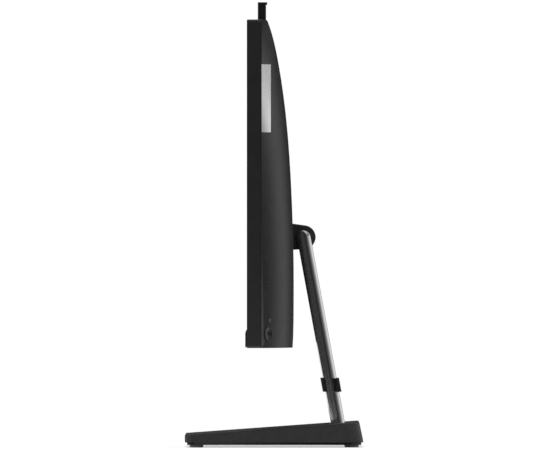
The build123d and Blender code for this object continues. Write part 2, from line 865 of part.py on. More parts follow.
# ---------------------------------------------------------------- antennas
antenna_lift = 0.8
with BuildPart() as antennas:
    for side in (-1, 1):
        at = (side * 150.0, chassis_high - 10.0)
        panel(46.0, 11.0, chassis_back, chassis_back + antenna_lift, at, 1.0)
        panel(30.0, 3.0, chassis_back + antenna_lift, chassis_back + 1.6, (at[0], at[1] + 2))
keep(antennas, "antennas")

# ---------------------------------------------------------------- badge plate (bare)
with BuildPart() as badge_plate:
    add(cover_form(-badge_thickness))
    box_between(
        (0, -far, display_base - far), (far * 9, badge_front, display_top + far), Mode.SUBTRACT
    )
    box_between(
        (half_width - slope_run, badge_front, badge_bottom),
        (half_width, badge_back, badge_top),
        Mode.INTERSECT,
    )
    add(cover_outer, mode=Mode.SUBTRACT)
keep(badge_plate, "badge_plate")

# ---------------------------------------------------------------- power button and light
ring_depth = 3.4
ring_bore = button_cap_radius + button_gap
with BuildPart() as button_ring:
    with BuildSketch(button_plane.offset(-ring_depth)):
        Circle(button_ring_radius)
        Circle(ring_bore, mode=Mode.SUBTRACT)
    extrude(amount=ring_depth + 0.4)
keep(button_ring, "button_ring")

cap_depth = 2.6
dish_depth = 0.9
stem_length = switch_depth - cap_depth - button_travel - 0.15
with BuildPart() as power_button:
    with BuildSketch(button_plane.offset(-cap_depth)):
        Circle(button_cap_radius)
    extrude(amount=cap_depth)
    dish_radius = (button_cap_radius**2 + dish_depth**2) / (2 * dish_depth)
    with Locations(button_plane.offset(dish_radius - dish_depth).location):
        Sphere(dish_radius, mode=Mode.SUBTRACT)
    with BuildSketch(button_plane.offset(-cap_depth - stem_length)):
        Circle(1.5)
    extrude(amount=stem_length)
keep(power_button, "power_button")

switch_board_thickness = 1.2
with BuildPart() as button_board:
    with BuildSketch(button_plane.offset(-switch_depth - 1.6 - switch_board_thickness)):
        with Locations((4, 0)):
            RectangleRounded(26, 9, 1.5)
    extrude(amount=switch_board_thickness)
    with BuildSketch(button_plane.offset(-switch_depth - 1.6)):
        RectangleRounded(5, 5, 0.5)
    extrude(amount=1.6)
keep(button_board, "button_board")

with BuildPart() as status_light:
    with BuildSketch(led_plane.offset(-5.0)):
        Circle(led_radius)
    extrude(amount=5.1)
keep(status_light, "status_light")

# ---------------------------------------------------------------- pull-up camera
camera_low = camera_top - camera_length
window_height = 12.0
window_z = camera_top - 3.4 - window_height / 2
window_depth = 0.8
with BuildPart() as camera_housing:
    slab(
        camera_width,
        camera_back - camera_front,
        camera_low,
        camera_top,
        camera_mid,
        1.0,
    )
    lip_y = (camera_back - 3.0 + camera_back + lip_reach) / 2
    slab(
        camera_width - 2,
        3.0 + lip_reach,
        camera_top - lip_height,
        camera_top,
        (0, lip_y),
        0.8,
    )
    panel(
        camera_width - 6,
        window_height,
        camera_front,
        camera_front + window_depth,
        (0, window_z),
        2.0,
        Mode.SUBTRACT,
    )
    post(4.6, camera_front, camera_front + 5.0, [(0, window_z)], Mode.SUBTRACT)
keep(camera_housing, "camera_housing")

with BuildPart() as camera_window:
    panel(
        camera_width - 6.2,
        window_height - 0.2,
        camera_front,
        camera_front + window_depth,
        (0, window_z),
        1.9,
    )
keep(camera_window, "camera_window")

with BuildPart() as camera_lens:
    post(4.4, camera_front + window_depth + 1.2, camera_front + 5.0, [(0, window_z)])
    post(2.9, camera_front + window_depth, camera_front + window_depth + 1.2, [(0, window_z)])
keep(camera_lens, "camera_lens")

ear_width = 9.0
with BuildPart() as camera_sleeve:
    sleeve_size = (camera_slot[0] + 2 * sleeve_wall, camera_slot[1] + 2 * sleeve_wall)
    slab(*sleeve_size, sleeve_low, sleeve_high, camera_mid)
    slab(*camera_slot, sleeve_low + 2.0, sleeve_high, camera_mid, 0, Mode.SUBTRACT)
    for side in (1, -1):
        ear_x = side * (sleeve_size[0] / 2 + ear_width / 2)
        panel(ear_width, 24.0, chassis_back, chassis_back + 1.5, (ear_x, sleeve_low + 16.0))
keep(camera_sleeve, "camera_sleeve")

# ---------------------------------------------------------------- hinge
plate_back = chassis_back + 2.5
cheek_places = [
    (cheek_inner, cheek_inner + cheek_thickness),
    (-cheek_inner - cheek_thickness, -cheek_inner),
]
with BuildPart() as hinge_bracket:
    panel(100, 85, chassis_back, plate_back, (0, 207.5), 6.0)
    post(2.1, chassis_back, plate_back, hinge_holes, Mode.SUBTRACT)
    for x_low, x_high in cheek_places:
        with BuildSketch(Plane.YZ.offset(x_low)):
            with Locations((axis_y, axis_z)):
                Circle(cheek_radius)
            Polygon(
                (plate_back - 0.5, axis_z - 16),
                (plate_back + 12, axis_z - 12.5),
                (axis_y, axis_z - cheek_radius),
                (axis_y, axis_z + cheek_radius),
                (plate_back + 12, axis_z + 12.5),
                (plate_back - 0.5, axis_z + 16),
                align=None,
            )
        extrude(amount=x_high - x_low)
    with BuildSketch(Plane.YZ.offset(-half_width)):
        with Locations((axis_y, axis_z)):
            Circle(shaft_radius + shaft_clearance)
    extrude(amount=display_width, mode=Mode.SUBTRACT)
keep(hinge_bracket, "hinge_bracket")

with BuildPart() as hinge_screws:
    post(3.6, plate_back, plate_back + 1.7, hinge_holes)
    post(2.0, ledge_back + 0.2, plate_back, hinge_holes)
    with BuildSketch(at_depth(plate_back + 1.7)):
        with Locations(*hinge_holes):
            RegularPolygon(1.6, 6)
    extrude(amount=1.0, mode=Mode.SUBTRACT)
keep(hinge_screws, "hinge_screws")

shaft_half = arm_width / 2 - shaft_cover
with BuildPart() as hinge_shaft:
    with BuildSketch(Plane.YZ.offset(-shaft_half)):
        with Locations((axis_y, axis_z)):
            Circle(shaft_radius)
    extrude(amount=2 * shaft_half)
    with BuildSketch(Plane.YZ.offset(-cheek_inner + 0.3)):
        with Locations((axis_y, axis_z)):
            RegularPolygon(7.0, 6)
    extrude(amount=2 * cheek_inner - 0.6)
keep(hinge_shaft, "hinge_shaft")

washer_thickness = 2.6
with BuildPart() as friction_washers:
    for side in (1, -1):
        start = cheek_inner + cheek_thickness + shaft_clearance
        with BuildSketch(Plane.YZ.offset(side * start)):
            with Locations((axis_y, axis_z)):
                Circle(7.2)
                Circle(shaft_radius + 0.02, mode=Mode.SUBTRACT)
        extrude(amount=side * washer_thickness)
keep(friction_washers, "friction_washers")


def neck_profile(inset):
    """Side outline of the hood: a barrel with two tangents running to the cover."""
    radius = barrel_radius - inset
    centre = Vector(axis_y, axis_z)
    start = seam_y + depth_at(neck_bottom) - cover_wall - 1.0
    corners = []
    for height, side in ((neck_top - inset, 1), (neck_bottom + inset, -1)):
        foot = Vector(start, height)
        away = foot - centre
        spread = math.acos(radius / away.length)
        turn = math.atan2(away.Y, away.X) - side * spread
        touch = centre + Vector(math.cos(turn), math.sin(turn)) * radius
        corners.append((foot, touch))
    (top_foot, top_touch), (low_foot, low_touch) = corners
    with BuildSketch(Plane.YZ) as outline:
        Polygon(
            *[(p.X, p.Y) for p in (top_foot, low_foot, low_touch, centre, top_touch)], align=None
        )
        with Locations((axis_y, axis_z)):
            Circle(radius)
    return outline.sketch


with BuildPart() as hinge_hood:
    extrude(neck_profile(0.0), amount=hood_width / 2, both=True)
    chamfer(hinge_hood.faces().sort_by(Axis.X)[-1].outer_wire().edges(), 0.6)
    chamfer(hinge_hood.faces().sort_by(Axis.X)[0].outer_wire().edges(), 0.6)
    extrude(
        neck_profile(hood_wall),
        amount=hood_width / 2 - hood_wall,
        both=True,
        mode=Mode.SUBTRACT,
    )
    with BuildSketch(Plane.YZ.offset(-half_width)):
        with Locations((axis_y, axis_z)):
            Circle(shaft_radius + 0.5)
    extrude(amount=display_width, mode=Mode.SUBTRACT)
    add(cover_outer, mode=Mode.SUBTRACT)
keep(hinge_hood, "hinge_hood")

# ---------------------------------------------------------------- stand arm
foot_z = foot_height + plate_thickness + weight_thickness
arm_top = Vector(0, axis_y, axis_z)
arm_across = Vector(0, math.cos(lean), math.sin(lean))


def arm_middle(z):
    """Depth of the arm's middle line at a height."""
    return axis_y + (axis_z - z) * math.tan(lean)


def arm_bar(grow, low, high):
    """Leaning bar past two heights: square at the front, well rounded at the rear."""
    across = Plane(origin=(0, arm_middle(low), low), x_dir=(1, 0, 0), z_dir=tuple(-arm_down))
    with BuildPart() as bar:
        with BuildSketch(across) as section:
            Rectangle(arm_width + 2 * grow, arm_thickness + 2 * grow)
            fillet(section.vertices().group_by(Axis.Y)[-1], arm_rear_round + grow)
            fillet(section.vertices().group_by(Axis.Y)[0], arm_front_round)
        extrude(amount=(high - low) / math.cos(lean))
    return bar.part


with BuildPart() as stand_arm:
    add(arm_bar(0.0, foot_z - arm_thickness, axis_z + arm_thickness))
    with BuildSketch(Plane.YZ.offset(-arm_width / 2)):
        with Locations((axis_y, axis_z)):
            Circle(arm_thickness / 2)
        half = arm_thickness / 2 / math.cos(lean) + 1.0
        across = arm_thickness / 2
        shoulder = math.sin(lean) * across
        Polygon(
            (axis_y - across * math.cos(lean), axis_z - shoulder),
            (axis_y + across * math.cos(lean), axis_z + shoulder),
            (arm_middle(foot_z) + half, foot_z),
            (arm_middle(foot_z) - half, foot_z),
            align=None,
        )
    extrude(amount=arm_width, mode=Mode.INTERSECT)
    face_plane = Plane(origin=tuple(arm_top), x_dir=(1, 0, 0), z_dir=tuple(arm_across))
    with BuildSketch(face_plane.offset(-arm_thickness)):
        with Locations((0, axis_z - arm_thickness / 2)):
            RectangleRounded(arm_width, 2 * axis_z, arm_rear_round)
    extrude(amount=2 * arm_thickness, mode=Mode.INTERSECT)
    box_between(
        (-ear_gap / 2, axis_y - 30, axis_z - ear_depth),
        (ear_gap / 2, axis_y + 30, axis_z + 30),
        Mode.SUBTRACT,
    )
    with BuildSketch(Plane.YZ.offset(-shaft_half - 0.5)):
        with Locations((axis_y, axis_z)):
            Circle(shaft_radius + 0.02)
    extrude(amount=2 * shaft_half + 1, mode=Mode.SUBTRACT)
    bolt_places = [(x, arm_middle(foot_z) - 1.0) for x in (-20.0, 0.0, 20.0)]
    with BuildSketch(Plane.XY.offset(foot_z)):
        with Locations(*bolt_places):
            Circle(2.5)
    extrude(amount=14.0, mode=Mode.SUBTRACT)
keep(stand_arm, "stand_arm")

# ---------------------------------------------------------------- base
shell_low = foot_height + plate_thickness


def base_top(y):
    """Height of the base's sloping top at a depth."""
    run = base_top_rear - base_front
    return base_front_height + (base_rear_height - base_front_height) * (y - base_front) / run


def base_form(inset):
    """Wedge with rounded corners, each wall moved in by the inset, open at the bottom."""
    with BuildPart() as form:
        front = base_front + inset
        rear = base_rear - inset
        top_rear = base_top_rear - inset
        with BuildSketch(Plane.YZ):
            Polygon(
                (front, shell_low),
                (rear, shell_low),
                (top_rear, base_top(top_rear) - inset),
                (front, base_top(front) - inset),
                align=None,
            )
        extrude(amount=base_width / 2 - inset, both=True)
        corners = form.edges().filter_by(Axis.X, reverse=True).sort_by(Axis.Y)
        fillet(corners[:2], base_front_corner - inset)
        corners = form.edges().filter_by(Axis.X, reverse=True).sort_by(Axis.Y)
        fillet(corners[-2:], base_rear_corner - inset)
    return form.part


base_screw_places = [(x, y) for x in (-96.0, 96.0) for y in (-62.0, 52.0)]
boss_radius = 4.0
with BuildPart() as base_shell:
    add(base_form(0.0))
    fillet(base_shell.faces().sort_by(Axis.Z)[-1].outer_wire().edges(), base_edge)
    add(base_form(base_wall), mode=Mode.SUBTRACT)
    for x, y in base_screw_places:
        slab(
            2 * boss_radius,
            2 * boss_radius,
            shell_low,
            base_top(y) - base_wall / 2,
            (x, y),
            boss_radius - 0.01,
        )
    add(arm_bar(0.2, 0, base_rear_height + 20), mode=Mode.SUBTRACT)
    with BuildSketch(Plane.XY.offset(shell_low)):
        with Locations(*base_screw_places):
            Circle(1.6)
    extrude(amount=5.5, mode=Mode.SUBTRACT)
keep(base_shell, "base_shell")

plate_size = (base_width - 2 * plate_inset, base_rear - base_front - 2 * plate_inset)
with BuildPart() as base_plate:
    slab(*plate_size, foot_height, shell_low, (0, 0), base_front_corner - plate_inset)
    with BuildSketch(Plane.XY.offset(foot_height)):
        with Locations(*base_screw_places):
            Circle(2.1)
        with Locations(*bolt_places):
            Circle(5.2)
    extrude(amount=plate_thickness, mode=Mode.SUBTRACT)
    with BuildSketch(Plane.XY.offset(foot_height)):
        with Locations(*base_screw_places):
            Circle(3.9)
    extrude(amount=1.3, mode=Mode.SUBTRACT)
keep(base_plate, "base_plate")

with BuildPart() as base_weight:
    weight_size = [size - 2 * base_wall - 4.0 for size in plate_size]
    slab(*weight_size, shell_low, foot_z, (0, -1.0), base_rear_corner - base_wall)
    with BuildSketch(Plane.XY.offset(shell_low)):
        with Locations(*base_screw_places):
            Circle(boss_radius + 0.5)
        with Locations(*bolt_places):
            Circle(2.8)
    extrude(amount=weight_thickness, mode=Mode.SUBTRACT)
keep(base_weight, "base_weight")

with BuildPart() as arm_bolts:
    with BuildSketch(Plane.XY.offset(shell_low - 2.0)):
        with Locations(*bolt_places):
            Circle(4.6)
            RegularPolygon(2.2, 6, mode=Mode.SUBTRACT)
    extrude(amount=2.0)
    with BuildSketch(Plane.XY.offset(shell_low - 0.6)):
        with Locations(*bolt_places):
            Circle(2.48)
    extrude(amount=foot_z - shell_low + 0.6 + 12.5)
keep(arm_bolts, "arm_bolts")

with BuildPart() as base_screws:
    with BuildSketch(Plane.XY.offset(foot_height + 0.1)):
        with Locations(*base_screw_places):
            Circle(3.5)
            RegularPolygon(1.3, 6, mode=Mode.SUBTRACT)
    extrude(amount=1.2)
    with BuildSketch(Plane.XY.offset(foot_height + 0.8)):
        with Locations(*base_screw_places):
            Circle(1.58)
    extrude(amount=6.0)
keep(base_screws, "base_screws")

foot_rows = [(-85.7, -72.1, 88.0), (71.4, 85.6, 76.0)]
foot_length = 34.0
with BuildPart() as rubber_feet:
    for y_front, y_rear, x in foot_rows:
        with BuildSketch():
            with Locations((x, (y_front + y_rear) / 2), (-x, (y_front + y_rear) / 2)):
                SlotOverall(foot_length, y_rear - y_front)
        extrude(amount=foot_height)
keep(rubber_feet, "rubber_feet")

# ---------------------------------------------------------------- cable clip
with BuildPart() as cable_clip:
    clip_mid = arm_middle(clip_bottom)
    arm_half = arm_thickness / 2 / math.cos(lean)
    grown_x = arm_width / 2 + clip_gap
    grown_y = arm_half + clip_gap
    with BuildSketch(Plane.XY.offset(clip_bottom)) as ring:
        with Locations((0, clip_mid)):
            Rectangle(2 * (grown_x + clip_wall), 2 * (grown_y + clip_wall))
        fillet(ring.vertices(), 2.2)
        with Locations((-grown_x - clip_channel / 2, clip_mid)):
            RectangleRounded(clip_channel + 2 * clip_wall, 2 * (grown_y + clip_wall), 2.2)
        with BuildSketch(mode=Mode.PRIVATE) as hole:
            with Locations((0, clip_mid)):
                Rectangle(2 * grown_x, 2 * grown_y)
            fillet(hole.vertices().group_by(Axis.Y)[-1], arm_rear_round)
        add(hole.sketch, mode=Mode.SUBTRACT)
        with Locations((-grown_x - clip_wall - clip_channel / 2 + clip_wall, clip_mid)):
            RectangleRounded(clip_channel - clip_wall, 2 * grown_y, 1.4, mode=Mode.SUBTRACT)
        mouth_low = clip_mid - grown_y - clip_wall + clip_front_lip + clip_wall
        mouth_high = clip_mid + grown_y + clip_wall - clip_rear_lip - clip_wall
        with Locations((grown_x + clip_wall / 2, (mouth_low + mouth_high) / 2)):
            Rectangle(clip_wall + 1.0, mouth_high - mouth_low, mode=Mode.SUBTRACT)
        with Locations((-grown_x - clip_channel - clip_wall / 2, clip_mid)):
            Rectangle(clip_wall * 2, 4.5, mode=Mode.SUBTRACT)
    extrude(amount=clip_height / math.cos(lean), dir=tuple(-arm_down))
keep(cable_clip, "cable_clip")
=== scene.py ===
"""Looks for an all in one PC: finishes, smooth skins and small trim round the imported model."""

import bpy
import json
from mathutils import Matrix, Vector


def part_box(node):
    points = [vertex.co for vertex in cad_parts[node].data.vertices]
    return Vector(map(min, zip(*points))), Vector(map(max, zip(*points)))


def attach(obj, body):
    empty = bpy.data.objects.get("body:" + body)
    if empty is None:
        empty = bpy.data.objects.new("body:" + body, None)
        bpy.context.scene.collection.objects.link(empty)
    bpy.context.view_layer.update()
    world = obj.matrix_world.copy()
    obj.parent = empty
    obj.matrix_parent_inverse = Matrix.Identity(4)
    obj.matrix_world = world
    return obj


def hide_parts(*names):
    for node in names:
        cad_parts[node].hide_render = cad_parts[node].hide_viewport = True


bl_info = {
    "name": "All in One PC Looks",
    "version": (1, 0, 0),
    "blender": (4, 5, 0),
    "location": "View3D > Sidebar > All in One PC",
    "description": "Dresses the packed all in one PC with its finishes, skins and stage",
    "category": "Object",
}

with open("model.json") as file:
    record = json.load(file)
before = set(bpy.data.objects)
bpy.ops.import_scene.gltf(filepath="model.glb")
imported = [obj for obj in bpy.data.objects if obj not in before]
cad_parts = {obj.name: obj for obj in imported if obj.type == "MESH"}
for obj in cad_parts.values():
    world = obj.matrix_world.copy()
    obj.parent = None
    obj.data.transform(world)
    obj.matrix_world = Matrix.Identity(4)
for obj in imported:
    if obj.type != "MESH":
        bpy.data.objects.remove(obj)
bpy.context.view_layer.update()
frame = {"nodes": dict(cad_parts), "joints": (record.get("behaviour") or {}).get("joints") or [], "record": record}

import json
import math

import bmesh
import bpy
import numpy as np
from bpy.props import FloatProperty, FloatVectorProperty, PointerProperty, StringProperty
from mathutils import Vector
from mathutils.bvhtree import BVHTree

MM = 0.001

# Points closer together than this, in metres, are one point
SAME_POINT = 2e-6
# Angle in degrees past which two faces meet in a sharp edge
SHARP = 35.0
# The middle part of a noise, which is stretched over the whole way between two roughnesses
NOISE_SPAN = {"From Min": 0.3, "From Max": 0.7}
# Noise values at which a finish has its first and its second shade
SHADE_STOPS = (0.35, 0.65)


def box_of(node):
    """Lowest and highest corner of a CAD node as two numpy rows."""
    low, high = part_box(node)
    return np.array(low), np.array(high)


COVER_LOW, COVER_HIGH = box_of("rear_cover")
ARM_LOW, ARM_HIGH = box_of("stand_arm")
PANEL_LOW, PANEL_HIGH = box_of("lcd_panel")
JOINTS = {joint["name"]: joint for joint in frame["joints"]}
HINGE = np.array(JOINTS["display_tilt"]["pos_m"])

# Width and height of the screen's picture area in mm
ACTIVE_AREA = (527.0, 296.5)


# ------------------------------------------------------------------ colour and nodes
def srgb(colour):
    """Linear RGBA of an sRGB hex string."""
    parts = [int(colour[i : i + 2], 16) / 255 for i in (1, 3, 5)]
    linear = [p / 12.92 if p <= 0.04045 else ((p + 0.055) / 1.055) ** 2.4 for p in parts]
    return (*linear, 1.0)


def add_node(tree, kind, settings=None, values=None, links=None):
    """One node with its settings, its socket values and the links into its sockets."""
    node = tree.nodes.new(kind)
    for name, value in (settings or {}).items():
        setattr(node, name, value)
    for name, value in (values or {}).items():
        node.inputs[name].default_value = value
    for name, source in (links or {}).items():
        tree.links.new(source, node.inputs[name])
    return node


def shader(name, colour, values):
    """A material with one Principled shader, and its tree, shader and object coordinates."""
    material = bpy.data.materials.new(name)
    material.use_nodes = True
    tree = material.node_tree
    tree.nodes.clear()
    settings = {"Base Color": srgb(colour), **values}
    principled = add_node(tree, "ShaderNodeBsdfPrincipled", values=settings)
    add_node(
        tree, "ShaderNodeOutputMaterial", links={"Surface": principled.outputs["BSDF"]}
    )
    place = add_node(tree, "ShaderNodeTexCoord")
    return material, tree, principled, place.outputs["Object"]


def vary_roughness(tree, principled, place, size_mm, low, high):
    """Roughness that wanders between two values over patches of a size."""
    noise = add_node(
        tree,
        "ShaderNodeTexNoise",
        values={"Scale": 1 / (size_mm * MM), "Detail": 3.0},
        links={"Vector": place},
    )
    span = add_node(
        tree,
        "ShaderNodeMapRange",
        values={**NOISE_SPAN, "To Min": low, "To Max": high},
        links={"Value": noise.outputs["Fac"]},
    )
    tree.links.new(span.outputs["Result"], principled.inputs["Roughness"])


def vary_colour(tree, principled, place, size_mm, first, second):
    """Base colour that wanders between two near shades."""
    noise = add_node(
        tree,
        "ShaderNodeTexNoise",
        values={"Scale": 1 / (size_mm * MM), "Detail": 4.0},
        links={"Vector": place},
    )
    ramp = add_node(tree, "ShaderNodeValToRGB", links={"Fac": noise.outputs["Fac"]})
    for index, shade_colour in enumerate((first, second)):
        stop = ramp.color_ramp.elements[index]
        stop.position = SHADE_STOPS[index]
        stop.color = srgb(shade_colour)
    tree.links.new(ramp.outputs["Color"], principled.inputs["Base Color"])


def grain(tree, principled, place, size_mm, depth_mm, strength):
    """Fine moulded or sprayed grain: noise of one size, as bump.

    Moulded and etched grains are drawn coarser than the real ones, which are too fine to
    show in the view.
    """
    noise = add_node(
        tree,
        "ShaderNodeTexNoise",
        values={"Scale": 1 / (size_mm * MM), "Detail": 2.0, "Roughness": 0.6},
        links={"Vector": place},
    )
    relief = add_node(
        tree,
        "ShaderNodeBump",
        values={"Strength": strength, "Distance": depth_mm * MM},
        links={"Height": noise.outputs["Fac"]},
    )
    tree.links.new(relief.outputs["Normal"], principled.inputs["Normal"])


# ------------------------------------------------------------------ materials
def moulded_abs(colour, second):
    """Black ABS, moulded in a spark-eroded tool: satin, with a fine pebbled grain."""
    material, tree, principled, place = shader(
        "moulded_abs", colour, {"Roughness": 0.27, "IOR": 1.53, "Specular IOR Level": 0.2}
    )
    vary_colour(tree, principled, place, 9.0, colour, second)
    vary_roughness(tree, principled, place, 14.0, 0.25, 0.3)
    grain(tree, principled, place, 0.9, 0.005, 0.4)
    return material


def frame_abs(colour, second):
    """Black ABS of the front frame: more matt than the cover, with a finer, deeper grain."""
    material, tree, principled, place = shader(
        "frame_abs", colour, {"Roughness": 0.48, "IOR": 1.53, "Specular IOR Level": 0.3}
    )
    vary_colour(tree, principled, place, 12.0, colour, second)
    vary_roughness(tree, principled, place, 10.0, 0.44, 0.52)
    grain(tree, principled, place, 0.7, 0.012, 0.4)
    return material


def smooth_abs(name, colour):
    """Dark ABS from a plain tool: small smooth trim that shows soft highlights."""
    material, tree, principled, place = shader(
        name, colour, {"Roughness": 0.34, "IOR": 1.53, "Specular IOR Level": 0.4}
    )
    vary_roughness(tree, principled, place, 5.0, 0.3, 0.4)
    grain(tree, principled, place, 1.2, 0.006, 0.3)
    return material


def powder_coat(name, colour, second):
    """Powder-coated steel shell: dark grey with a slight orange-peel ripple."""
    material, tree, principled, place = shader(
        name, colour, {"Roughness": 0.48, "IOR": 1.5, "Specular IOR Level": 0.4}
    )
    vary_colour(tree, principled, place, 6.0, colour, second)
    vary_roughness(tree, principled, place, 9.0, 0.42, 0.52)
    grain(tree, principled, place, 1.1, 0.01, 0.4)
    return material


def anodised_arm(colour):
    """Anodised aluminium extrusion: drawn lengthwise, so its highlights run along it.

    The draw lines are coarser than the real ones, which are too fine to show in the view.
    """
    material, tree, principled, place = shader(
        "anodised_aluminium", colour, {"Metallic": 1.0, "Roughness": 0.11}
    )
    stretch = add_node(
        tree,
        "ShaderNodeMapping",
        {"vector_type": "TEXTURE"},
        {"Rotation": (bpy.context.scene.aio_arm.lean, 0.0, 0.0), "Scale": (1.0, 1.0, 120.0)},
        {"Vector": place},
    )
    lines = add_node(
        tree,
        "ShaderNodeTexNoise",
        values={"Scale": 1 / (1.1 * MM), "Detail": 2.0},
        links={"Vector": stretch.outputs["Vector"]},
    )
    span = add_node(
        tree,
        "ShaderNodeMapRange",
        values={**NOISE_SPAN, "To Min": 0.09, "To Max": 0.13},
        links={"Value": lines.outputs["Fac"]},
    )
    tree.links.new(span.outputs["Result"], principled.inputs["Roughness"])
    relief = add_node(
        tree,
        "ShaderNodeBump",
        values={"Strength": 0.2, "Distance": 0.001 * MM},
        links={"Height": lines.outputs["Fac"]},
    )
    tree.links.new(relief.outputs["Normal"], principled.inputs["Normal"])
    return material


def brushed_steel(colour):
    """Brushed stainless steel: hair lines up the plate, growing matt towards its top.

    The hair lines are coarser than the real ones, which are too fine to show in the view.
    """
    low, high = 0.22, 0.34
    material, tree, principled, place = shader(
        "brushed_plate", colour, {"Metallic": 1.0, "Roughness": low}
    )
    stretch = add_node(
        tree, "ShaderNodeMapping", values={"Scale": (1.0, 1.0, 0.02)}, links={"Vector": place}
    )
    lines = add_node(
        tree,
        "ShaderNodeTexNoise",
        values={"Scale": 1 / (0.35 * MM), "Detail": 4.0},
        links={"Vector": stretch.outputs["Vector"]},
    )
    span = add_node(
        tree,
        "ShaderNodeMapRange",
        values={**NOISE_SPAN, "To Min": low, "To Max": high},
        links={"Value": lines.outputs["Fac"]},
    )
    plate_low, plate_high = box_of("badge_plate")
    parts = add_node(tree, "ShaderNodeSeparateXYZ", links={"Vector": place})
    # Share of the roughness from the plate's foot to its top
    matt = add_node(
        tree,
        "ShaderNodeMapRange",
        values={"From Min": plate_low[2], "From Max": plate_high[2], "To Min": 0.25, "To Max": 1.6},
        links={"Value": parts.outputs["Z"]},
    )
    satin = add_node(
        tree,
        "ShaderNodeMath",
        {"operation": "MULTIPLY"},
        links={0: span.outputs["Result"], 1: matt.outputs["Result"]},
    )
    tree.links.new(satin.outputs[0], principled.inputs["Roughness"])
    relief = add_node(
        tree,
        "ShaderNodeBump",
        values={"Strength": 0.4, "Distance": 0.004 * MM},
        links={"Height": lines.outputs["Fac"]},
    )
    tree.links.new(relief.outputs["Normal"], principled.inputs["Normal"])
    return material


def zinc_sheet(colour):
    """Zinc-plated steel: cool grey with faint spangle patches."""
    material, tree, principled, place = shader(
        "zinc_sheet", colour, {"Metallic": 1.0, "Roughness": 0.35}
    )
    cells = add_node(
        tree,
        "ShaderNodeTexVoronoi",
        values={"Scale": 1 / (7 * MM)},
        links={"Vector": place},
    )
    span = add_node(
        tree,
        "ShaderNodeMapRange",
        values={"To Min": 0.28, "To Max": 0.44},
        links={"Value": cells.outputs["Distance"]},
    )
    tree.links.new(span.outputs["Result"], principled.inputs["Roughness"])
    grain(tree, principled, place, 2.0, 0.005, 0.3)
    return material


def screen_glass(colour, border):
    """Switched-off screen: dark picture area in a black border, under an etched satin face."""
    material, tree, principled, place = shader(
        "anti_glare_screen", colour, {"Roughness": 0.3, "IOR": 1.5, "Specular IOR Level": 0.5}
    )
    vary_roughness(tree, principled, place, 30.0, 0.27, 0.33)
    grain(tree, principled, place, 0.5, 0.002, 0.4)
    parts = add_node(tree, "ShaderNodeSeparateXYZ", links={"Vector": place})
    middle = (PANEL_LOW + PANEL_HIGH) / 2
    inside = []
    for axis, reach in (("X", ACTIVE_AREA[0]), ("Z", ACTIVE_AREA[1])):
        part = add_node(
            tree,
            "ShaderNodeMath",
            {"operation": "COMPARE"},
            {1: middle["XYZ".index(axis)], 2: reach / 2 * MM},
            {0: parts.outputs[axis]},
        )
        inside.append(part.outputs[0])
    area = add_node(
        tree, "ShaderNodeMath", {"operation": "MULTIPLY"}, links={0: inside[0], 1: inside[1]}
    )
    ramp = add_node(tree, "ShaderNodeValToRGB", links={"Fac": area.outputs[0]})
    ramp.color_ramp.elements[0].color = srgb(border)
    ramp.color_ramp.elements[1].color = srgb(colour)
    tree.links.new(ramp.outputs["Color"], principled.inputs["Base Color"])
    return material


def dark_window(colour):
    """Polished dark acrylic in front of the lens."""
    material, tree, principled, place = shader(
        "dark_acrylic", colour, {"Roughness": 0.06, "IOR": 1.49, "Coat Weight": 0.3}
    )
    vary_roughness(tree, principled, place, 8.0, 0.04, 0.09)
    return material


def foot_rubber(colour, second):
    """Grey silicone rubber: matt and slightly dusty."""
    material, tree, principled, place = shader(
        "silicone_rubber", colour, {"Roughness": 0.75, "IOR": 1.43}
    )
    vary_colour(tree, principled, place, 3.0, colour, second)
    vary_roughness(tree, principled, place, 4.0, 0.65, 0.82)
    grain(tree, principled, place, 0.6, 0.02, 0.6)
    return material


def light_pipe(colour):
    """Frosted polycarbonate light pipe of the status light, not lit."""
    material, tree, principled, place = shader(
        "frosted_polycarbonate", colour, {"Roughness": 0.38, "IOR": 1.58}
    )
    vary_roughness(tree, principled, place, 2.0, 0.33, 0.45)
    grain(tree, principled, place, 0.4, 0.01, 0.4)
    return material


def solder_mask(colour, second):
    """Green circuit board: glass weave under a smooth solder mask."""
    material, tree, principled, place = shader(
        "solder_mask", colour, {"Roughness": 0.35, "IOR": 1.5}
    )
    vary_colour(tree, principled, place, 5.0, colour, second)
    vary_roughness(tree, principled, place, 3.0, 0.3, 0.42)
    grain(tree, principled, place, 0.8, 0.01, 0.4)
    return material


def bare_copper(colour, second):
    """Bare copper of the cooler, slightly tarnished."""
    material, tree, principled, place = shader(
        "bare_copper", colour, {"Metallic": 1.0, "Roughness": 0.3}
    )
    vary_colour(tree, principled, place, 8.0, colour, second)
    vary_roughness(tree, principled, place, 5.0, 0.25, 0.4)
    return material


def clear_acrylic(colour):
    """Moulded acrylic light guide, drawn solid because the screen in front hides it."""
    material, tree, principled, place = shader(
        "moulded_acrylic", colour, {"Roughness": 0.2, "IOR": 1.49}
    )
    vary_roughness(tree, principled, place, 4.0, 0.16, 0.26)
    return material


# ------------------------------------------------------------------ mesh helpers
def put_mesh(name, points, faces):
    """Object from an array of points in metres and an array or list of faces."""
    mesh = bpy.data.meshes.new(name)
    if isinstance(faces, np.ndarray):
        faces = faces.tolist()
    mesh.from_pydata(np.asarray(points, float).reshape(-1, 3).tolist(), [], faces)
    mesh.validate()
    mesh.update()
    piece = bpy.data.objects.new(name, mesh)
    bpy.context.scene.collection.objects.link(piece)
    return piece


def ring_faces(rings, count):
    """Quads between neighbouring closed rings, each of the same count of points."""
    start = np.arange(rings - 1)[:, None] * count
    here = np.arange(count)[None, :]
    onward = (here + 1) % count
    corners = [start + here, start + onward, start + count + onward, start + count + here]
    return np.stack(np.broadcast_arrays(*corners), -1).reshape(-1, 4)


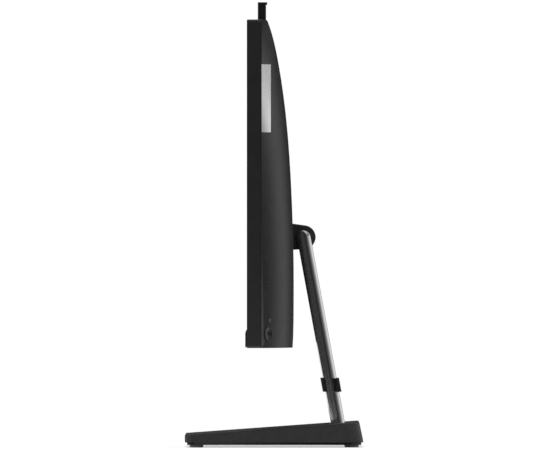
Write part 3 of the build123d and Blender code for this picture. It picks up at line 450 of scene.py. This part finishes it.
def merge_points(mesh, outwards=False):
    """Make one point of those that coincide, then turn every face outwards on request."""
    work = bmesh.new()
    work.from_mesh(mesh)
    bmesh.ops.remove_doubles(work, verts=work.verts, dist=SAME_POINT)
    if outwards:
        bmesh.ops.recalc_face_normals(work, faces=work.faces)
    work.to_mesh(mesh)
    work.free()
    mesh.update()


def shade(piece, angle=SHARP):
    """Smooth shading, kept sharp where faces meet at more than an angle in degrees."""
    piece.data.shade_smooth()
    piece.data.set_sharp_from_angle(angle=math.radians(angle))


def soften(piece, radius):
    """Round every sharp edge by a radius in metres, in two steps."""
    bevel = piece.modifiers.new("edge_round", "BEVEL")
    bevel.width = radius
    bevel.segments = 2
    bevel.limit_method = "ANGLE"
    bevel.angle_limit = math.radians(SHARP)
    bevel.harden_normals = False


def dress(piece, body, slot, material, *nodes):
    """Give a finished piece its material and body, and hide the CAD nodes it stands for. The slot is not used."""
    piece.data.materials.clear()
    piece.data.materials.append(material)
    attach(piece, body)
    if nodes:
        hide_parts(*nodes)


def merged_copy(node, name, angle=SHARP):
    """Copy of a CAD node with its triangles joined and shaded smooth over its curves."""
    piece = bpy.data.objects.new(name, frame["nodes"][node].data.copy())
    bpy.context.scene.collection.objects.link(piece)
    merge_points(piece.data)
    shade(piece, angle)
    return piece


def carve(piece, cutter):
    """Take one closed mesh out of another for good and clear the cutter away."""
    cut = piece.modifiers.new("cut", "BOOLEAN")
    cut.object = cutter
    cut.operation = "DIFFERENCE"
    cut.solver = "EXACT"
    graph = bpy.context.evaluated_depsgraph_get()
    carved = bpy.data.meshes.new_from_object(piece.evaluated_get(graph))
    piece.modifiers.clear()
    piece.data = carved
    bpy.data.objects.remove(cutter)


def block(name, low, high):
    """Closed box between two corners in metres, as a cutter."""
    corners = np.array(np.meshgrid(*zip(low, high), indexing="ij")).reshape(3, 8).T
    faces = [(0, 1, 3, 2), (4, 6, 7, 5), (0, 4, 5, 1), (2, 3, 7, 6), (0, 2, 6, 4), (1, 5, 7, 3)]
    return put_mesh(name, corners, faces)


# ------------------------------------------------------------------ settings
class AioFinishes(bpy.types.PropertyGroup):
    """Colours of the PC's finishes, as sRGB hex."""

    cover: StringProperty(
        name="Cover", description="Moulded rear cover, sRGB hex", default="#1f1f20"
    )
    cover_second: StringProperty(
        name="Cover Shade", description="Second shade of the rear cover", default="#232324"
    )
    frame: StringProperty(
        name="Frame", description="Front frame, sRGB hex", default="#232324"
    )
    frame_second: StringProperty(
        name="Frame Shade", description="Second shade of the frame", default="#262627"
    )
    base: StringProperty(
        name="Base", description="Powder-coated base, sRGB hex", default="#303031"
    )
    base_second: StringProperty(
        name="Base Shade", description="Second shade of the base", default="#2a2a2b"
    )
    # The hood's colour is painted light: lighter than the other trim, to make up for the shade that the hood sits
    # in
    hood: StringProperty(
        name="Hood", description="Hinge hood, sRGB hex", default="#343436"
    )
    # The bottom plate's two colours are painted shade: dark enough to stand for the shade line along the base's
    # lower edge
    plate: StringProperty(
        name="Bottom Plate", description="Primed bottom plate, sRGB hex", default="#1b1b1c"
    )
    plate_second: StringProperty(
        name="Bottom Plate Shade",
        description="Second shade of the bottom plate",
        default="#171718",
    )
    arm: StringProperty(
        name="Arm", description="Anodised arm, sRGB hex", default="#d8d9db"
    )
    badge: StringProperty(
        name="Side Plate", description="Brushed plate on the side slope", default="#f6f6f8"
    )
    foot: StringProperty(
        name="Feet", description="Rubber feet, sRGB hex", default="#8f8f90"
    )
    foot_second: StringProperty(
        name="Feet Shade", description="Second shade of the feet", default="#a2a2a3"
    )
    trim: StringProperty(
        name="Trim", description="Small smooth plastic trim, sRGB hex", default="#212122"
    )
    screen: StringProperty(
        name="Screen", description="Picture area when off, sRGB hex", default="#121317"
    )
    border: StringProperty(
        name="Screen Border", description="Border of the screen, sRGB hex", default="#050506"
    )
    window: StringProperty(
        name="Window", description="Dark acrylic before the lens, sRGB hex", default="#050506"
    )
    light: StringProperty(
        name="Status Light", description="Unlit light pipe, sRGB hex", default="#3c3d3f"
    )
    zinc: StringProperty(
        name="Zinc", description="Plated steel inside, sRGB hex", default="#a9abad"
    )
    guide: StringProperty(
        name="Light Guide", description="Acrylic behind the screen, sRGB hex", default="#dfe3e6"
    )
    board: StringProperty(
        name="Board", description="Circuit boards, sRGB hex", default="#0f3320"
    )
    board_second: StringProperty(
        name="Board Shade", description="Second shade of the boards", default="#154028"
    )
    copper: StringProperty(
        name="Copper", description="Copper of the cooler, sRGB hex", default="#b8734a"
    )
    copper_second: StringProperty(
        name="Copper Shade", description="Second shade of the copper", default="#a2653f"
    )


class AioArm(bpy.types.PropertyGroup):
    """Sizes of the stand arm."""

    thickness: FloatProperty(
        name="Thickness", description="Depth of the arm", default=0.014, unit="LENGTH"
    )
    rear_width: FloatProperty(
        name="Corner Width",
        description="Rear corner across the arm",
        default=0.0066,
        unit="LENGTH",
    )
    rear_round: FloatProperty(
        name="Corner Depth",
        description="Rear corner along the depth",
        default=0.0066,
        unit="LENGTH",
    )
    front_round: FloatProperty(
        name="Front Corner", description="Radius of the front corners", default=0.001, unit="LENGTH"
    )
    shoulder: FloatProperty(
        name="Shoulder",
        description="Radius of the ears' outer corners",
        default=0.0004,
        unit="LENGTH",
    )
    edge_round: FloatProperty(
        name="Edge Round", description="Radius of the cut edges", default=0.00035, unit="LENGTH"
    )
    ear_gap: FloatProperty(
        name="Ear Gap", description="Room between the ears", default=0.036, unit="LENGTH"
    )
    ear_depth: FloatProperty(
        name="Ear Depth", description="Ears below the pivot", default=0.0135, unit="LENGTH"
    )
    foot: FloatProperty(
        name="Foot Height", description="Arm's lowest point", default=0.0092, unit="LENGTH"
    )
    lean: FloatProperty(
        name="Lean", description="Lean from upright", default=math.radians(10.44), unit="ROTATION"
    )


class AioStage(bpy.types.PropertyGroup):
    """Camera, floor and lights."""

    lens: FloatProperty(
        name="Lens", description="Focal length in mm on a 36 mm sensor", default=1380.0
    )
    view_width: FloatProperty(
        name="View Width",
        description="Width that the view takes in",
        default=0.5595,
        unit="LENGTH",
    )
    target: FloatVectorProperty(
        name="Target", description="Point in the middle of the view", default=(0, 0.0008, 0.2252)
    )
    world_level: FloatProperty(
        name="World Level", description="World light that falls on the object", default=0.55
    )
    ceiling: FloatProperty(
        name="Ceiling", description="Level of the studio's ceiling in reflections", default=0.8
    )
    floor_radius: FloatProperty(
        name="Floor Radius", description="Radius of the floor disc", default=0.7, unit="LENGTH"
    )
    floor_lift: FloatProperty(
        name="Floor Lift", description="White added to the floor as the camera sees it", default=0.5
    )
    key_power: FloatProperty(name="Key Power", description="Soft box power in W", default=9.0)


def finishes():
    """The finish settings of this scene."""
    return bpy.context.scene.aio_finishes


def stage():
    """The stage settings of this scene."""
    return bpy.context.scene.aio_stage


# Material of each slot, filled by the first operator
MATERIALS = {}


def slot_of(node):
    """Material slot that the record gives a node."""
    entries = frame["record"]["subparts"]
    return next(entry["material_slot"] for entry in entries if entry["node"] == node)


def body_of(node):
    """Body that the record puts a node on."""
    bodies = frame["record"]["behaviour"]["bodies"]
    return next(body for body, nodes in bodies.items() if node in nodes)


# ------------------------------------------------------------------ operators
class AIO_OT_finishes(bpy.types.Operator):
    """Make every material and give each CAD node the one of its slot"""

    bl_idname = "aio.finishes"
    bl_label = "Finishes"

    def execute(self, context):
        tone = finishes()
        MATERIALS.update(
            black_plastic=moulded_abs(tone.cover, tone.cover_second),
            frame_plastic=frame_abs(tone.frame, tone.frame_second),
            dark_plastic=smooth_abs("smooth_abs", tone.trim),
            base_paint=powder_coat("powder_coat", tone.base, tone.base_second),
            arm_metal=anodised_arm(tone.arm),
            badge_metal=brushed_steel(tone.badge),
            screen_glass=screen_glass(tone.screen, tone.border),
            clear_glass=dark_window(tone.window),
            rubber=foot_rubber(tone.foot, tone.foot_second),
            steel=zinc_sheet(tone.zinc),
            acrylic=clear_acrylic(tone.guide),
            circuit_board=solder_mask(tone.board, tone.board_second),
            copper=bare_copper(tone.copper, tone.copper_second),
            light_pipe=light_pipe(tone.light),
        )
        for node, piece in frame["nodes"].items():
            piece.data.materials.clear()
            piece.data.materials.append(MATERIALS[slot_of(node)])
        return {"FINISHED"}


# Light of the studio in reflections, by direction: degrees from +X towards +Y, level.
# The first ring is at the height of the eye, the second higher up. The two ends of a ring
# come first, because a new ramp already has two stops.
EYE_RING = [
    (-180, 0.0),
    (180, 0.0),
    (-160, 0.03),
    (-138, 0.6),
    (-118, 0.4),
    (-92, 0.2),
    (-60, 0.3),
    (-30, 0.15),
    (-12, 0.02),
    (0, 0.068),
    (12, 0.02),
    (30, 0.02),
    (44, 0.3),
    (60, 0.3),
    (82, 0.15),
    (98, 0.03),
    (116, 0.03),
    (126, 0.3),
    (136, 0.9),
    (145, 0.35),
    (154, 0.02),
]
HIGH_RING = [
    (-180, 0.0),
    (180, 0.0),
    (-160, 0.3),
    (-120, 0.6),
    (-90, 0.4),
    (-60, 0.3),
    (-30, 0.15),
    (-12, 0.03),
    (0, 0.068),
    (12, 0.02),
    (34, 0.01),
    (48, 0.06),
    (64, 0.25),
    (86, 0.6),
    (104, 1.0),
    (130, 1.0),
    (150, 0.8),
    (164, 0.1),
]
# Heights, as the Z of a direction, over which the second ring comes in and goes out
HIGH_BAND = [(0.07, 0.14), (0.2, 0.3)]
# Heights, in the same measure, over which the ceiling comes in
CEILING_BAND = (0.22, 0.85)

# Depth of the rear cover behind the seam in mm, by share of its height
COVER_DEPTHS = np.array(
    [
        (0.0, 32.4),
        (0.05, 33.15),
        (0.13, 33.5),
        (0.25, 33.45),
        (0.40, 32.2),
        (0.60, 28.8),
        (0.76, 23.6),
        (0.88, 17.4),
        (0.95, 12.3),
        (1.0, 6.75),
    ]
)
# Depth of the cover's side edges behind the seam, and how far in their slopes reach, in mm
COVER_RIM = 1.0
SLOPE_RUN = 100.0
# A face belongs to the cover's outer side when it is this near the formula's surface, in mm,
# and the cosine between its normal and the formula's is above this
OUTER_REACH = 0.6
OUTER_COSINE = 0.93


def cover_depth(height):
    """Depth of the cover's middle at a height: cubic spans through the stations.

    Each span is a Hermite cubic. Its slope at a station is that of the parabola through the
    station and its two neighbours, and at the two end stations that of the straight line to
    the one neighbour.
    """
    share = (height - COVER_LOW[2] / MM) / ((COVER_HIGH[2] - COVER_LOW[2]) / MM)
    stations, depths = COVER_DEPTHS.T
    slopes = np.gradient(depths, stations)
    span = np.clip(np.searchsorted(stations, share) - 1, 0, len(stations) - 2)
    width = stations[span + 1] - stations[span]
    t = np.clip((share - stations[span]) / width, 0, 1)
    return (
        (2 * t**3 - 3 * t**2 + 1) * depths[span]
        + (t**3 - 2 * t**2 + t) * width * slopes[span]
        + (3 * t**2 - 2 * t**3) * depths[span + 1]
        + (t**3 - t**2) * width * slopes[span + 1]
    )


def cover_surface(x, z):
    """Y of the cover's outer face in mm: flat across the middle, a parabola up each side.

    Y is the seam plus the depth, less (depth - rim) times (1 - s) squared, where s goes from
    0 at the side edge to 1 where the slope ends.
    """
    depth = cover_depth(z)
    inward = np.clip((COVER_HIGH[0] / MM - np.abs(x)) / SLOPE_RUN, 0, 1)
    return COVER_LOW[1] / MM + depth - (depth - COVER_RIM) * (1 - inward) ** 2


def cover_normals(x, z, step=0.4):
    """Unit normals of the cover's outer face, from its slopes over a step in mm each way."""
    along_x = (cover_surface(x + step, z) - cover_surface(x - step, z)) / (2 * step)
    along_z = (cover_surface(x, z + step) - cover_surface(x, z - step)) / (2 * step)
    normals = np.stack([-along_x, np.ones_like(x), -along_z], -1)
    return normals / np.linalg.norm(normals, axis=1, keepdims=True)


class AIO_OT_cover(bpy.types.Operator):
    """Rear cover: the moulded shell, with its shading taken from its exact form"""

    bl_idname = "aio.cover"
    bl_label = "Rear Cover"

    def execute(self, context):
        piece = merged_copy("rear_cover", "moulded_cover")
        mesh = piece.data
        places = np.empty(len(mesh.vertices) * 3)
        mesh.vertices.foreach_get("co", places)
        places = places.reshape(-1, 3) / MM
        corner_vertex = np.empty(len(mesh.loops), int)
        mesh.loops.foreach_get("vertex_index", corner_vertex)
        normals = np.empty(len(mesh.loops) * 3)
        mesh.corner_normals.foreach_get("vector", normals)
        normals = normals.reshape(-1, 3)
        flat = np.empty(len(mesh.polygons) * 3)
        mesh.polygons.foreach_get("normal", flat)
        corners = np.empty(len(mesh.polygons), int)
        mesh.polygons.foreach_get("loop_total", corners)
        flat = np.repeat(flat.reshape(-1, 3), corners, axis=0)
        x, y, z = places[corner_vertex].T
        exact = cover_normals(x, z)
        near = np.abs(y - cover_surface(x, z)) < OUTER_REACH
        alike = (exact * flat).sum(1) > OUTER_COSINE
        normals[near & alike] = exact[near & alike]
        mesh.normals_split_custom_set(normals.tolist())
        dress(piece, "display", "black_plastic", MATERIALS["black_plastic"], "rear_cover")
        return {"FINISHED"}


# Cutter between the ears: its lowest and highest Y, past the arm, and its rise over the pivot
EAR_CUT_FRONT = -0.1
EAR_CUT_REAR = 0.2
EAR_CUT_RISE = 0.05
# Points round a rear corner, up the arm and round its end
CORNER_POINTS = 15
BAR_POINTS = 24
END_POINTS = 13
# Depth left at the very top of the arm, as a share, so that its end is a narrow face
END_DEPTH = 0.02


class AIO_OT_arm(bpy.types.Operator):
    """Stand arm: an extrusion with round rear corners and two ears"""

    bl_idname = "aio.arm"
    bl_label = "Stand Arm"

    def execute(self, context):
        size = context.scene.aio_arm
        half, deep = (ARM_HIGH[0] - ARM_LOW[0]) / 2, size.thickness / 2
        piece = put_mesh("extruded_arm", *self.bar(size, half, deep))
        merge_points(piece.data, outwards=True)
        gap = size.ear_gap / 2
        low = (-gap, EAR_CUT_FRONT, HINGE[2] - size.ear_depth)
        high = (gap, EAR_CUT_REAR, HINGE[2] + EAR_CUT_RISE)
        carve(piece, block("ear_gap", low, high))
        shade(piece, angle=30.0)
        soften(piece, size.edge_round)
        dress(piece, "stand", "arm_metal", MATERIALS["arm_metal"], "stand_arm")
        return {"FINISHED"}

    def bar(self, size, half, deep):
        """Sections carried up the leaning middle line to a half-round end at the pivot.

        A section is a rectangle whose front corners are small quarter circles and whose
        rear corners are quarter ellipses. Past the pivot its depth follows the circle
        round the pivot and its width follows the circle of the rounded shoulder.
        """
        quarter = np.linspace(0, math.pi / 2, CORNER_POINTS)
        tight = quarter[::3]
        front, wide, rear = size.front_round, size.rear_width, size.rear_round
        right_rear = np.stack(
            [half - wide + wide * np.cos(quarter), deep - rear + rear * np.sin(quarter)], -1
        )
        left_rear = right_rear[::-1] * (-1, 1)
        left_front = np.stack(
            [-half + front - front * np.cos(tight), -deep + front - front * np.sin(tight)], -1
        )
        right_front = left_front[::-1] * (-1, 1)
        section = np.concatenate([right_rear, left_rear, left_front, right_front])
        end = np.sin(np.linspace(0, math.pi / 2, END_POINTS)) * deep
        foot = (size.foot + deep * math.sin(size.lean) - HINGE[2]) / math.cos(size.lean)
        along = np.concatenate([np.linspace(foot, 0, BAR_POINTS)[:-1], end])
        past = np.clip(along, 0, deep)
        depth_share = np.sqrt(np.clip(1 - (past / deep) ** 2, 0, 1))
        depth_share[-1] = END_DEPTH
        over = np.clip(past - (deep - size.shoulder), 0, None)
        drop = np.sqrt(np.clip(size.shoulder**2 - over**2, 0, None))
        width = half - size.shoulder + drop
        across = section[None, :, 0] * (width / half)[:, None]
        back = section[None, :, 1] * depth_share[:, None]
        up = np.broadcast_to(along[:, None], across.shape)
        sine, cosine = math.sin(size.lean), math.cos(size.lean)
        points = np.stack(
            [
                across,
                HINGE[1] + back * cosine - up * sine,
                HINGE[2] + back * sine + up * cosine,
            ],
            -1,
        )
        faces = ring_faces(len(along), len(section)).tolist()
        count = len(section)
        faces += [list(range(count)), list(range((len(along) - 1) * count, len(along) * count))]
        return points, faces


# Smooth copy of each node: its name, and the angle in degrees past which an edge stays sharp
SMOOTH_COPIES = {
    "base_shell": ("coated_base", 25.0),
    "front_frame": ("moulded_frame", 35.0),
    "hinge_hood": ("moulded_hood", 25.0),
    "cable_clip": ("moulded_clip", 35.0),
    "camera_housing": ("moulded_camera", 35.0),
    "power_button": ("dished_button", 35.0),
    "button_ring": ("button_bezel", 35.0),
    "status_light": ("light_window", 35.0),
    "speaker_bar": ("speaker_grille", 35.0),
    "rubber_feet": ("rubber_pads", 35.0),
    "base_plate": ("pressed_plate", 35.0),
    "badge_plate": ("side_plate", 25.0),
}


class AIO_OT_trim(bpy.types.Operator):
    """Trim: smooth copies of the round and rounded pieces that show"""

    bl_idname = "aio.trim"
    bl_label = "Trim"

    def execute(self, context):
        tone = finishes()
        # Nodes whose finish is not the one of their slot
        paints = {
            # Bottom plate: painted shade, near black so that it stands for the shade line under the base
            "base_plate": powder_coat("plate_painted_shade", tone.plate, tone.plate_second),
            # Hood: painted light, a lighter copy of the trim's plastic that makes up for the shade it sits in
            "hinge_hood": smooth_abs("hood_abs_painted_light", tone.hood),
        }
        for node, (name, angle) in SMOOTH_COPIES.items():
            piece = merged_copy(node, name, angle)
            material = paints.get(node, MATERIALS[slot_of(node)])
            dress(piece, body_of(node), slot_of(node), material, node)
        return {"FINISHED"}


# Radius and half height of the dark dot on the button, and where the ray that finds the
# bottom of the dish starts off the button, in metres
MARK_RADIUS = 0.9 * MM
MARK_RISE = 0.12 * MM
RAY_START = 0.02
# Points round the dot, and from its back to its front
MARK_ROUND = 20
MARK_RINGS = 9


class AIO_OT_button_mark(bpy.types.Operator):
    """Dark dot in the middle of the power button's dish"""

    bl_idname = "aio.button_mark"
    bl_label = "Button Mark"

    def execute(self, context):
        low, high = box_of("power_button")
        middle = (low + high) / 2
        normal = cover_normals(middle[:1] / MM, middle[2:] / MM)[0]
        mesh = frame["nodes"]["power_button"].data
        faces = [tuple(face.vertices) for face in mesh.polygons]
        tree = BVHTree.FromPolygons([vertex.co for vertex in mesh.vertices], faces)
        far = Vector(middle + normal * RAY_START)
        floor = np.array(tree.ray_cast(far, Vector(-normal))[0])
        piece = put_mesh("button_mark", *self.lens(floor, normal, MARK_RADIUS, MARK_RISE))
        merge_points(piece.data, outwards=True)
        shade(piece)
        dress(piece, "power_button", "dark_plastic", MATERIALS["clear_glass"])
        return {"FINISHED"}

    def lens(self, middle, normal, radius, rise):
        """A flat lens: rings of radius R cos a at a height H sin a, a from -90 to 90 degrees.

        A ring turns from the level direction across the normal to the upright.
        """
        upright = np.array((0.0, 0.0, 1.0))
        side = np.cross(normal, upright)
        turn = np.linspace(0, 2 * math.pi, MARK_ROUND, endpoint=False)
        tilt = np.linspace(-math.pi / 2, math.pi / 2, MARK_RINGS)
        ring = np.cos(turn)[:, None] * side + np.sin(turn)[:, None] * upright
        across = radius * np.cos(tilt)[:, None, None] * ring[None]
        points = middle + across + rise * np.sin(tilt)[:, None, None] * normal
        return points, ring_faces(len(tilt), len(turn))


# Soft boxes: place, side of the square in metres, and share of the key power
SOFT_BOXES = {
    "top_box": ((0.2, 0.0, 2.2), 2.4, 1.0),
    "rear_box": ((0.3, 2.2, 0.8), 1.8, 0.45),
    "front_box": ((0.9, -2.2, 0.7), 1.6, 0.7),
}
# Point that the soft boxes look at
BOX_AIM = (0, 0, 0.2)
# Points round the floor disc, and its height, just clear of the feet
FLOOR_POINTS = 96
FLOOR_HEIGHT = -0.0002
# Nearest and farthest distance that the camera sees, as shares of its own distance
CLIP_SHARES = (0.5, 2.0)


class AIO_OT_stage(bpy.types.Operator):
    """Set the floor, world, soft boxes and camera"""

    bl_idname = "aio.stage"
    bl_label = "Stage"

    def execute(self, context):
        scene = context.scene
        scene.view_settings.view_transform = "Standard"
        self.world(scene)
        self.floor()
        self.lights()
        self.camera(scene)
        return {"FINISHED"}

    def world(self, scene):
        """White to the camera and through glass, a studio round the object for reflections.

        The studio is a grey level for each direction round the object, at two heights: dark
        towards the camera and opposite it, lighter to the sides, under a soft ceiling.
        """
        world = bpy.data.worlds.new("studio")
        # Sampled as a lamp, the world would light glossy faces with its plain level as well
        world.cycles.sampling_method = "NONE"
        scene.world = world
        world.use_nodes = True
        tree = world.node_tree
        tree.nodes.clear()
        path = add_node(tree, "ShaderNodeLightPath")
        seen = add_node(
            tree,
            "ShaderNodeMath",
            {"operation": "MAXIMUM"},
            links={0: path.outputs["Is Camera Ray"], 1: path.outputs["Is Transmission Ray"]},
        )
        place = add_node(tree, "ShaderNodeTexCoord")
        parts = add_node(
            tree, "ShaderNodeSeparateXYZ", links={"Vector": place.outputs["Generated"]}
        )
        turn = add_node(
            tree,
            "ShaderNodeMath",
            {"operation": "ARCTAN2"},
            links={0: parts.outputs["Y"], 1: parts.outputs["X"]},
        )
        share = add_node(
            tree,
            "ShaderNodeMapRange",
            values={"From Min": -math.pi, "From Max": math.pi},
            links={"Value": turn.outputs[0]},
        )
        eye = self.ring(tree, share.outputs["Result"], EYE_RING)
        high = self.ring(tree, share.outputs["Result"], HIGH_RING)
        edges = [
            add_node(
                tree,
                "ShaderNodeMapRange",
                {"interpolation_type": "SMOOTHSTEP"},
                {"From Min": start, "From Max": end},
                {"Value": parts.outputs["Z"]},
            ).outputs["Result"]
            for start, end in HIGH_BAND
        ]
        band = add_node(
            tree, "ShaderNodeMath", {"operation": "SUBTRACT"}, links={0: edges[0], 1: edges[1]}
        )
        # A Mix node blends colours from its inputs 6 and 7 into its output 2
        walls = add_node(
            tree,
            "ShaderNodeMix",
            {"data_type": "RGBA"},
            links={"Factor": band.outputs[0], 6: eye, 7: high},
        )
        height = add_node(
            tree,
            "ShaderNodeMapRange",
            {"interpolation_type": "SMOOTHSTEP"},
            {"From Min": CEILING_BAND[0], "From Max": CEILING_BAND[1]},
            {"Value": parts.outputs["Z"]},
        )
        room = add_node(
            tree,
            "ShaderNodeMix",
            {"data_type": "RGBA"},
            {7: (stage().ceiling,) * 3 + (1,)},
            {"Factor": height.outputs["Result"], 6: walls.outputs[2]},
        )
        mirrored = add_node(tree, "ShaderNodeBackground", links={"Color": room.outputs[2]})
        plain = add_node(
            tree,
            "ShaderNodeBackground",
            values={"Color": (1, 1, 1, 1), "Strength": stage().world_level},
        )
        white = add_node(
            tree, "ShaderNodeBackground", values={"Color": (1, 1, 1, 1), "Strength": 1.0}
        )
        around = add_node(
            tree,
            "ShaderNodeMixShader",
            links={
                0: path.outputs["Is Glossy Ray"],
                1: plain.outputs[0],
                2: mirrored.outputs[0],
            },
        )
        mix = add_node(
            tree,
            "ShaderNodeMixShader",
            links={0: seen.outputs[0], 1: around.outputs[0], 2: white.outputs[0]},
        )
        add_node(tree, "ShaderNodeOutputWorld", links={"Surface": mix.outputs[0]})

    def ring(self, tree, share, stops):
        """Grey level by direction: a smooth ramp that follows the ring's stops."""
        ring = add_node(tree, "ShaderNodeValToRGB", links={"Fac": share})
        ramp = ring.color_ramp
        ramp.interpolation = "B_SPLINE"
        for index, (degrees, level) in enumerate(stops):
            spot = (degrees + 180) / 360
            stop = ramp.elements[index] if index < 2 else ramp.elements.new(spot)
            stop.position = spot
            stop.color = (level, level, level, 1)
        return ring.outputs["Color"]

    def floor(self):
        """A disc under the object, white when seen or mirrored but for the object's shadow."""
        turn = np.linspace(0, 2 * math.pi, FLOOR_POINTS, endpoint=False)
        ring = np.stack([np.cos(turn), np.sin(turn), np.zeros_like(turn)], -1)
        piece = put_mesh("floor", ring * stage().floor_radius, [list(range(FLOOR_POINTS))])
        piece.location.z = FLOOR_HEIGHT
        material, tree, principled, place = shader(
            "floor_paper", "#ffffff", {"Roughness": 0.9, "Specular IOR Level": 0.0}
        )
        path = add_node(tree, "ShaderNodeLightPath")
        seen = add_node(
            tree,
            "ShaderNodeMath",
            {"operation": "MAXIMUM"},
            links={0: path.outputs["Is Camera Ray"], 1: path.outputs["Is Glossy Ray"]},
        )
        lift = add_node(
            tree,
            "ShaderNodeMath",
            {"operation": "MULTIPLY"},
            {1: stage().floor_lift},
            {0: seen.outputs[0]},
        )
        glow = add_node(
            tree,
            "ShaderNodeEmission",
            values={"Color": (1, 1, 1, 1)},
            links={"Strength": lift.outputs[0]},
        )
        both = add_node(
            tree, "ShaderNodeAddShader", links={0: principled.outputs[0], 1: glow.outputs[0]}
        )
        surface = next(n for n in tree.nodes if n.bl_idname == "ShaderNodeOutputMaterial")
        tree.links.new(both.outputs[0], surface.inputs["Surface"])
        piece.data.materials.append(material)

    def lights(self):
        """Soft boxes: one over the object, one behind it and one before it."""
        for name, (place, size, share) in SOFT_BOXES.items():
            lamp = bpy.data.lights.new(name, "AREA")
            lamp.shape = "SQUARE"
            lamp.size = size
            lamp.energy = stage().key_power * share
            box = bpy.data.objects.new(name, lamp)
            box.location = place
            # The rings of the studio stand for the soft boxes in reflections
            box.visible_glossy = False
            aim = Vector(BOX_AIM) - Vector(place)
            box.rotation_euler = aim.to_track_quat("-Z", "Y").to_euler()
            bpy.context.scene.collection.objects.link(box)

    def camera(self, scene):
        """A very long lens from the right-hand side, so the view is all but parallel."""
        lens = bpy.data.cameras.new("side_camera")
        lens.lens = stage().lens
        lens.sensor_width = 36.0
        distance = stage().view_width * lens.lens / lens.sensor_width
        lens.clip_start = distance * CLIP_SHARES[0]
        lens.clip_end = distance * CLIP_SHARES[1]
        eye = bpy.data.objects.new("side_camera", lens)
        eye.location = Vector(stage().target) + Vector((distance, 0, 0))
        eye.rotation_euler = (math.radians(90), 0, math.radians(90))
        scene.collection.objects.link(eye)
        scene.camera = eye


# Operators in the order in which they run
STEPS = ["finishes", "cover", "arm", "trim", "button_mark", "stage"]


class AIO_PT_panel(bpy.types.Panel):
    """The steps in the 3D view's sidebar"""

    bl_idname = "AIO_PT_panel"
    bl_label = "All in One PC"
    bl_space_type = "VIEW_3D"
    bl_region_type = "UI"
    bl_category = "All in One PC"

    def draw(self, context):
        for step in STEPS:
            self.layout.operator(f"aio.{step}")


CLASSES = [
    AioFinishes,
    AioArm,
    AioStage,
    AIO_OT_finishes,
    AIO_OT_cover,
    AIO_OT_arm,
    AIO_OT_trim,
    AIO_OT_button_mark,
    AIO_OT_stage,
    AIO_PT_panel,
]


def register():
    """Register the classes and hang the settings on the scene."""
    for item in CLASSES:
        bpy.utils.register_class(item)
    bpy.types.Scene.aio_finishes = PointerProperty(type=AioFinishes)
    bpy.types.Scene.aio_arm = PointerProperty(type=AioArm)
    bpy.types.Scene.aio_stage = PointerProperty(type=AioStage)


def unregister():
    """Take the settings and classes away again."""
    del bpy.types.Scene.aio_stage
    del bpy.types.Scene.aio_arm
    del bpy.types.Scene.aio_finishes
    for item in reversed(CLASSES):
        bpy.utils.unregister_class(item)


def main():
    """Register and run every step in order."""
    register()
    for step in STEPS:
        getattr(bpy.ops.aio, step)()


if __name__ == "__main__":
    main()
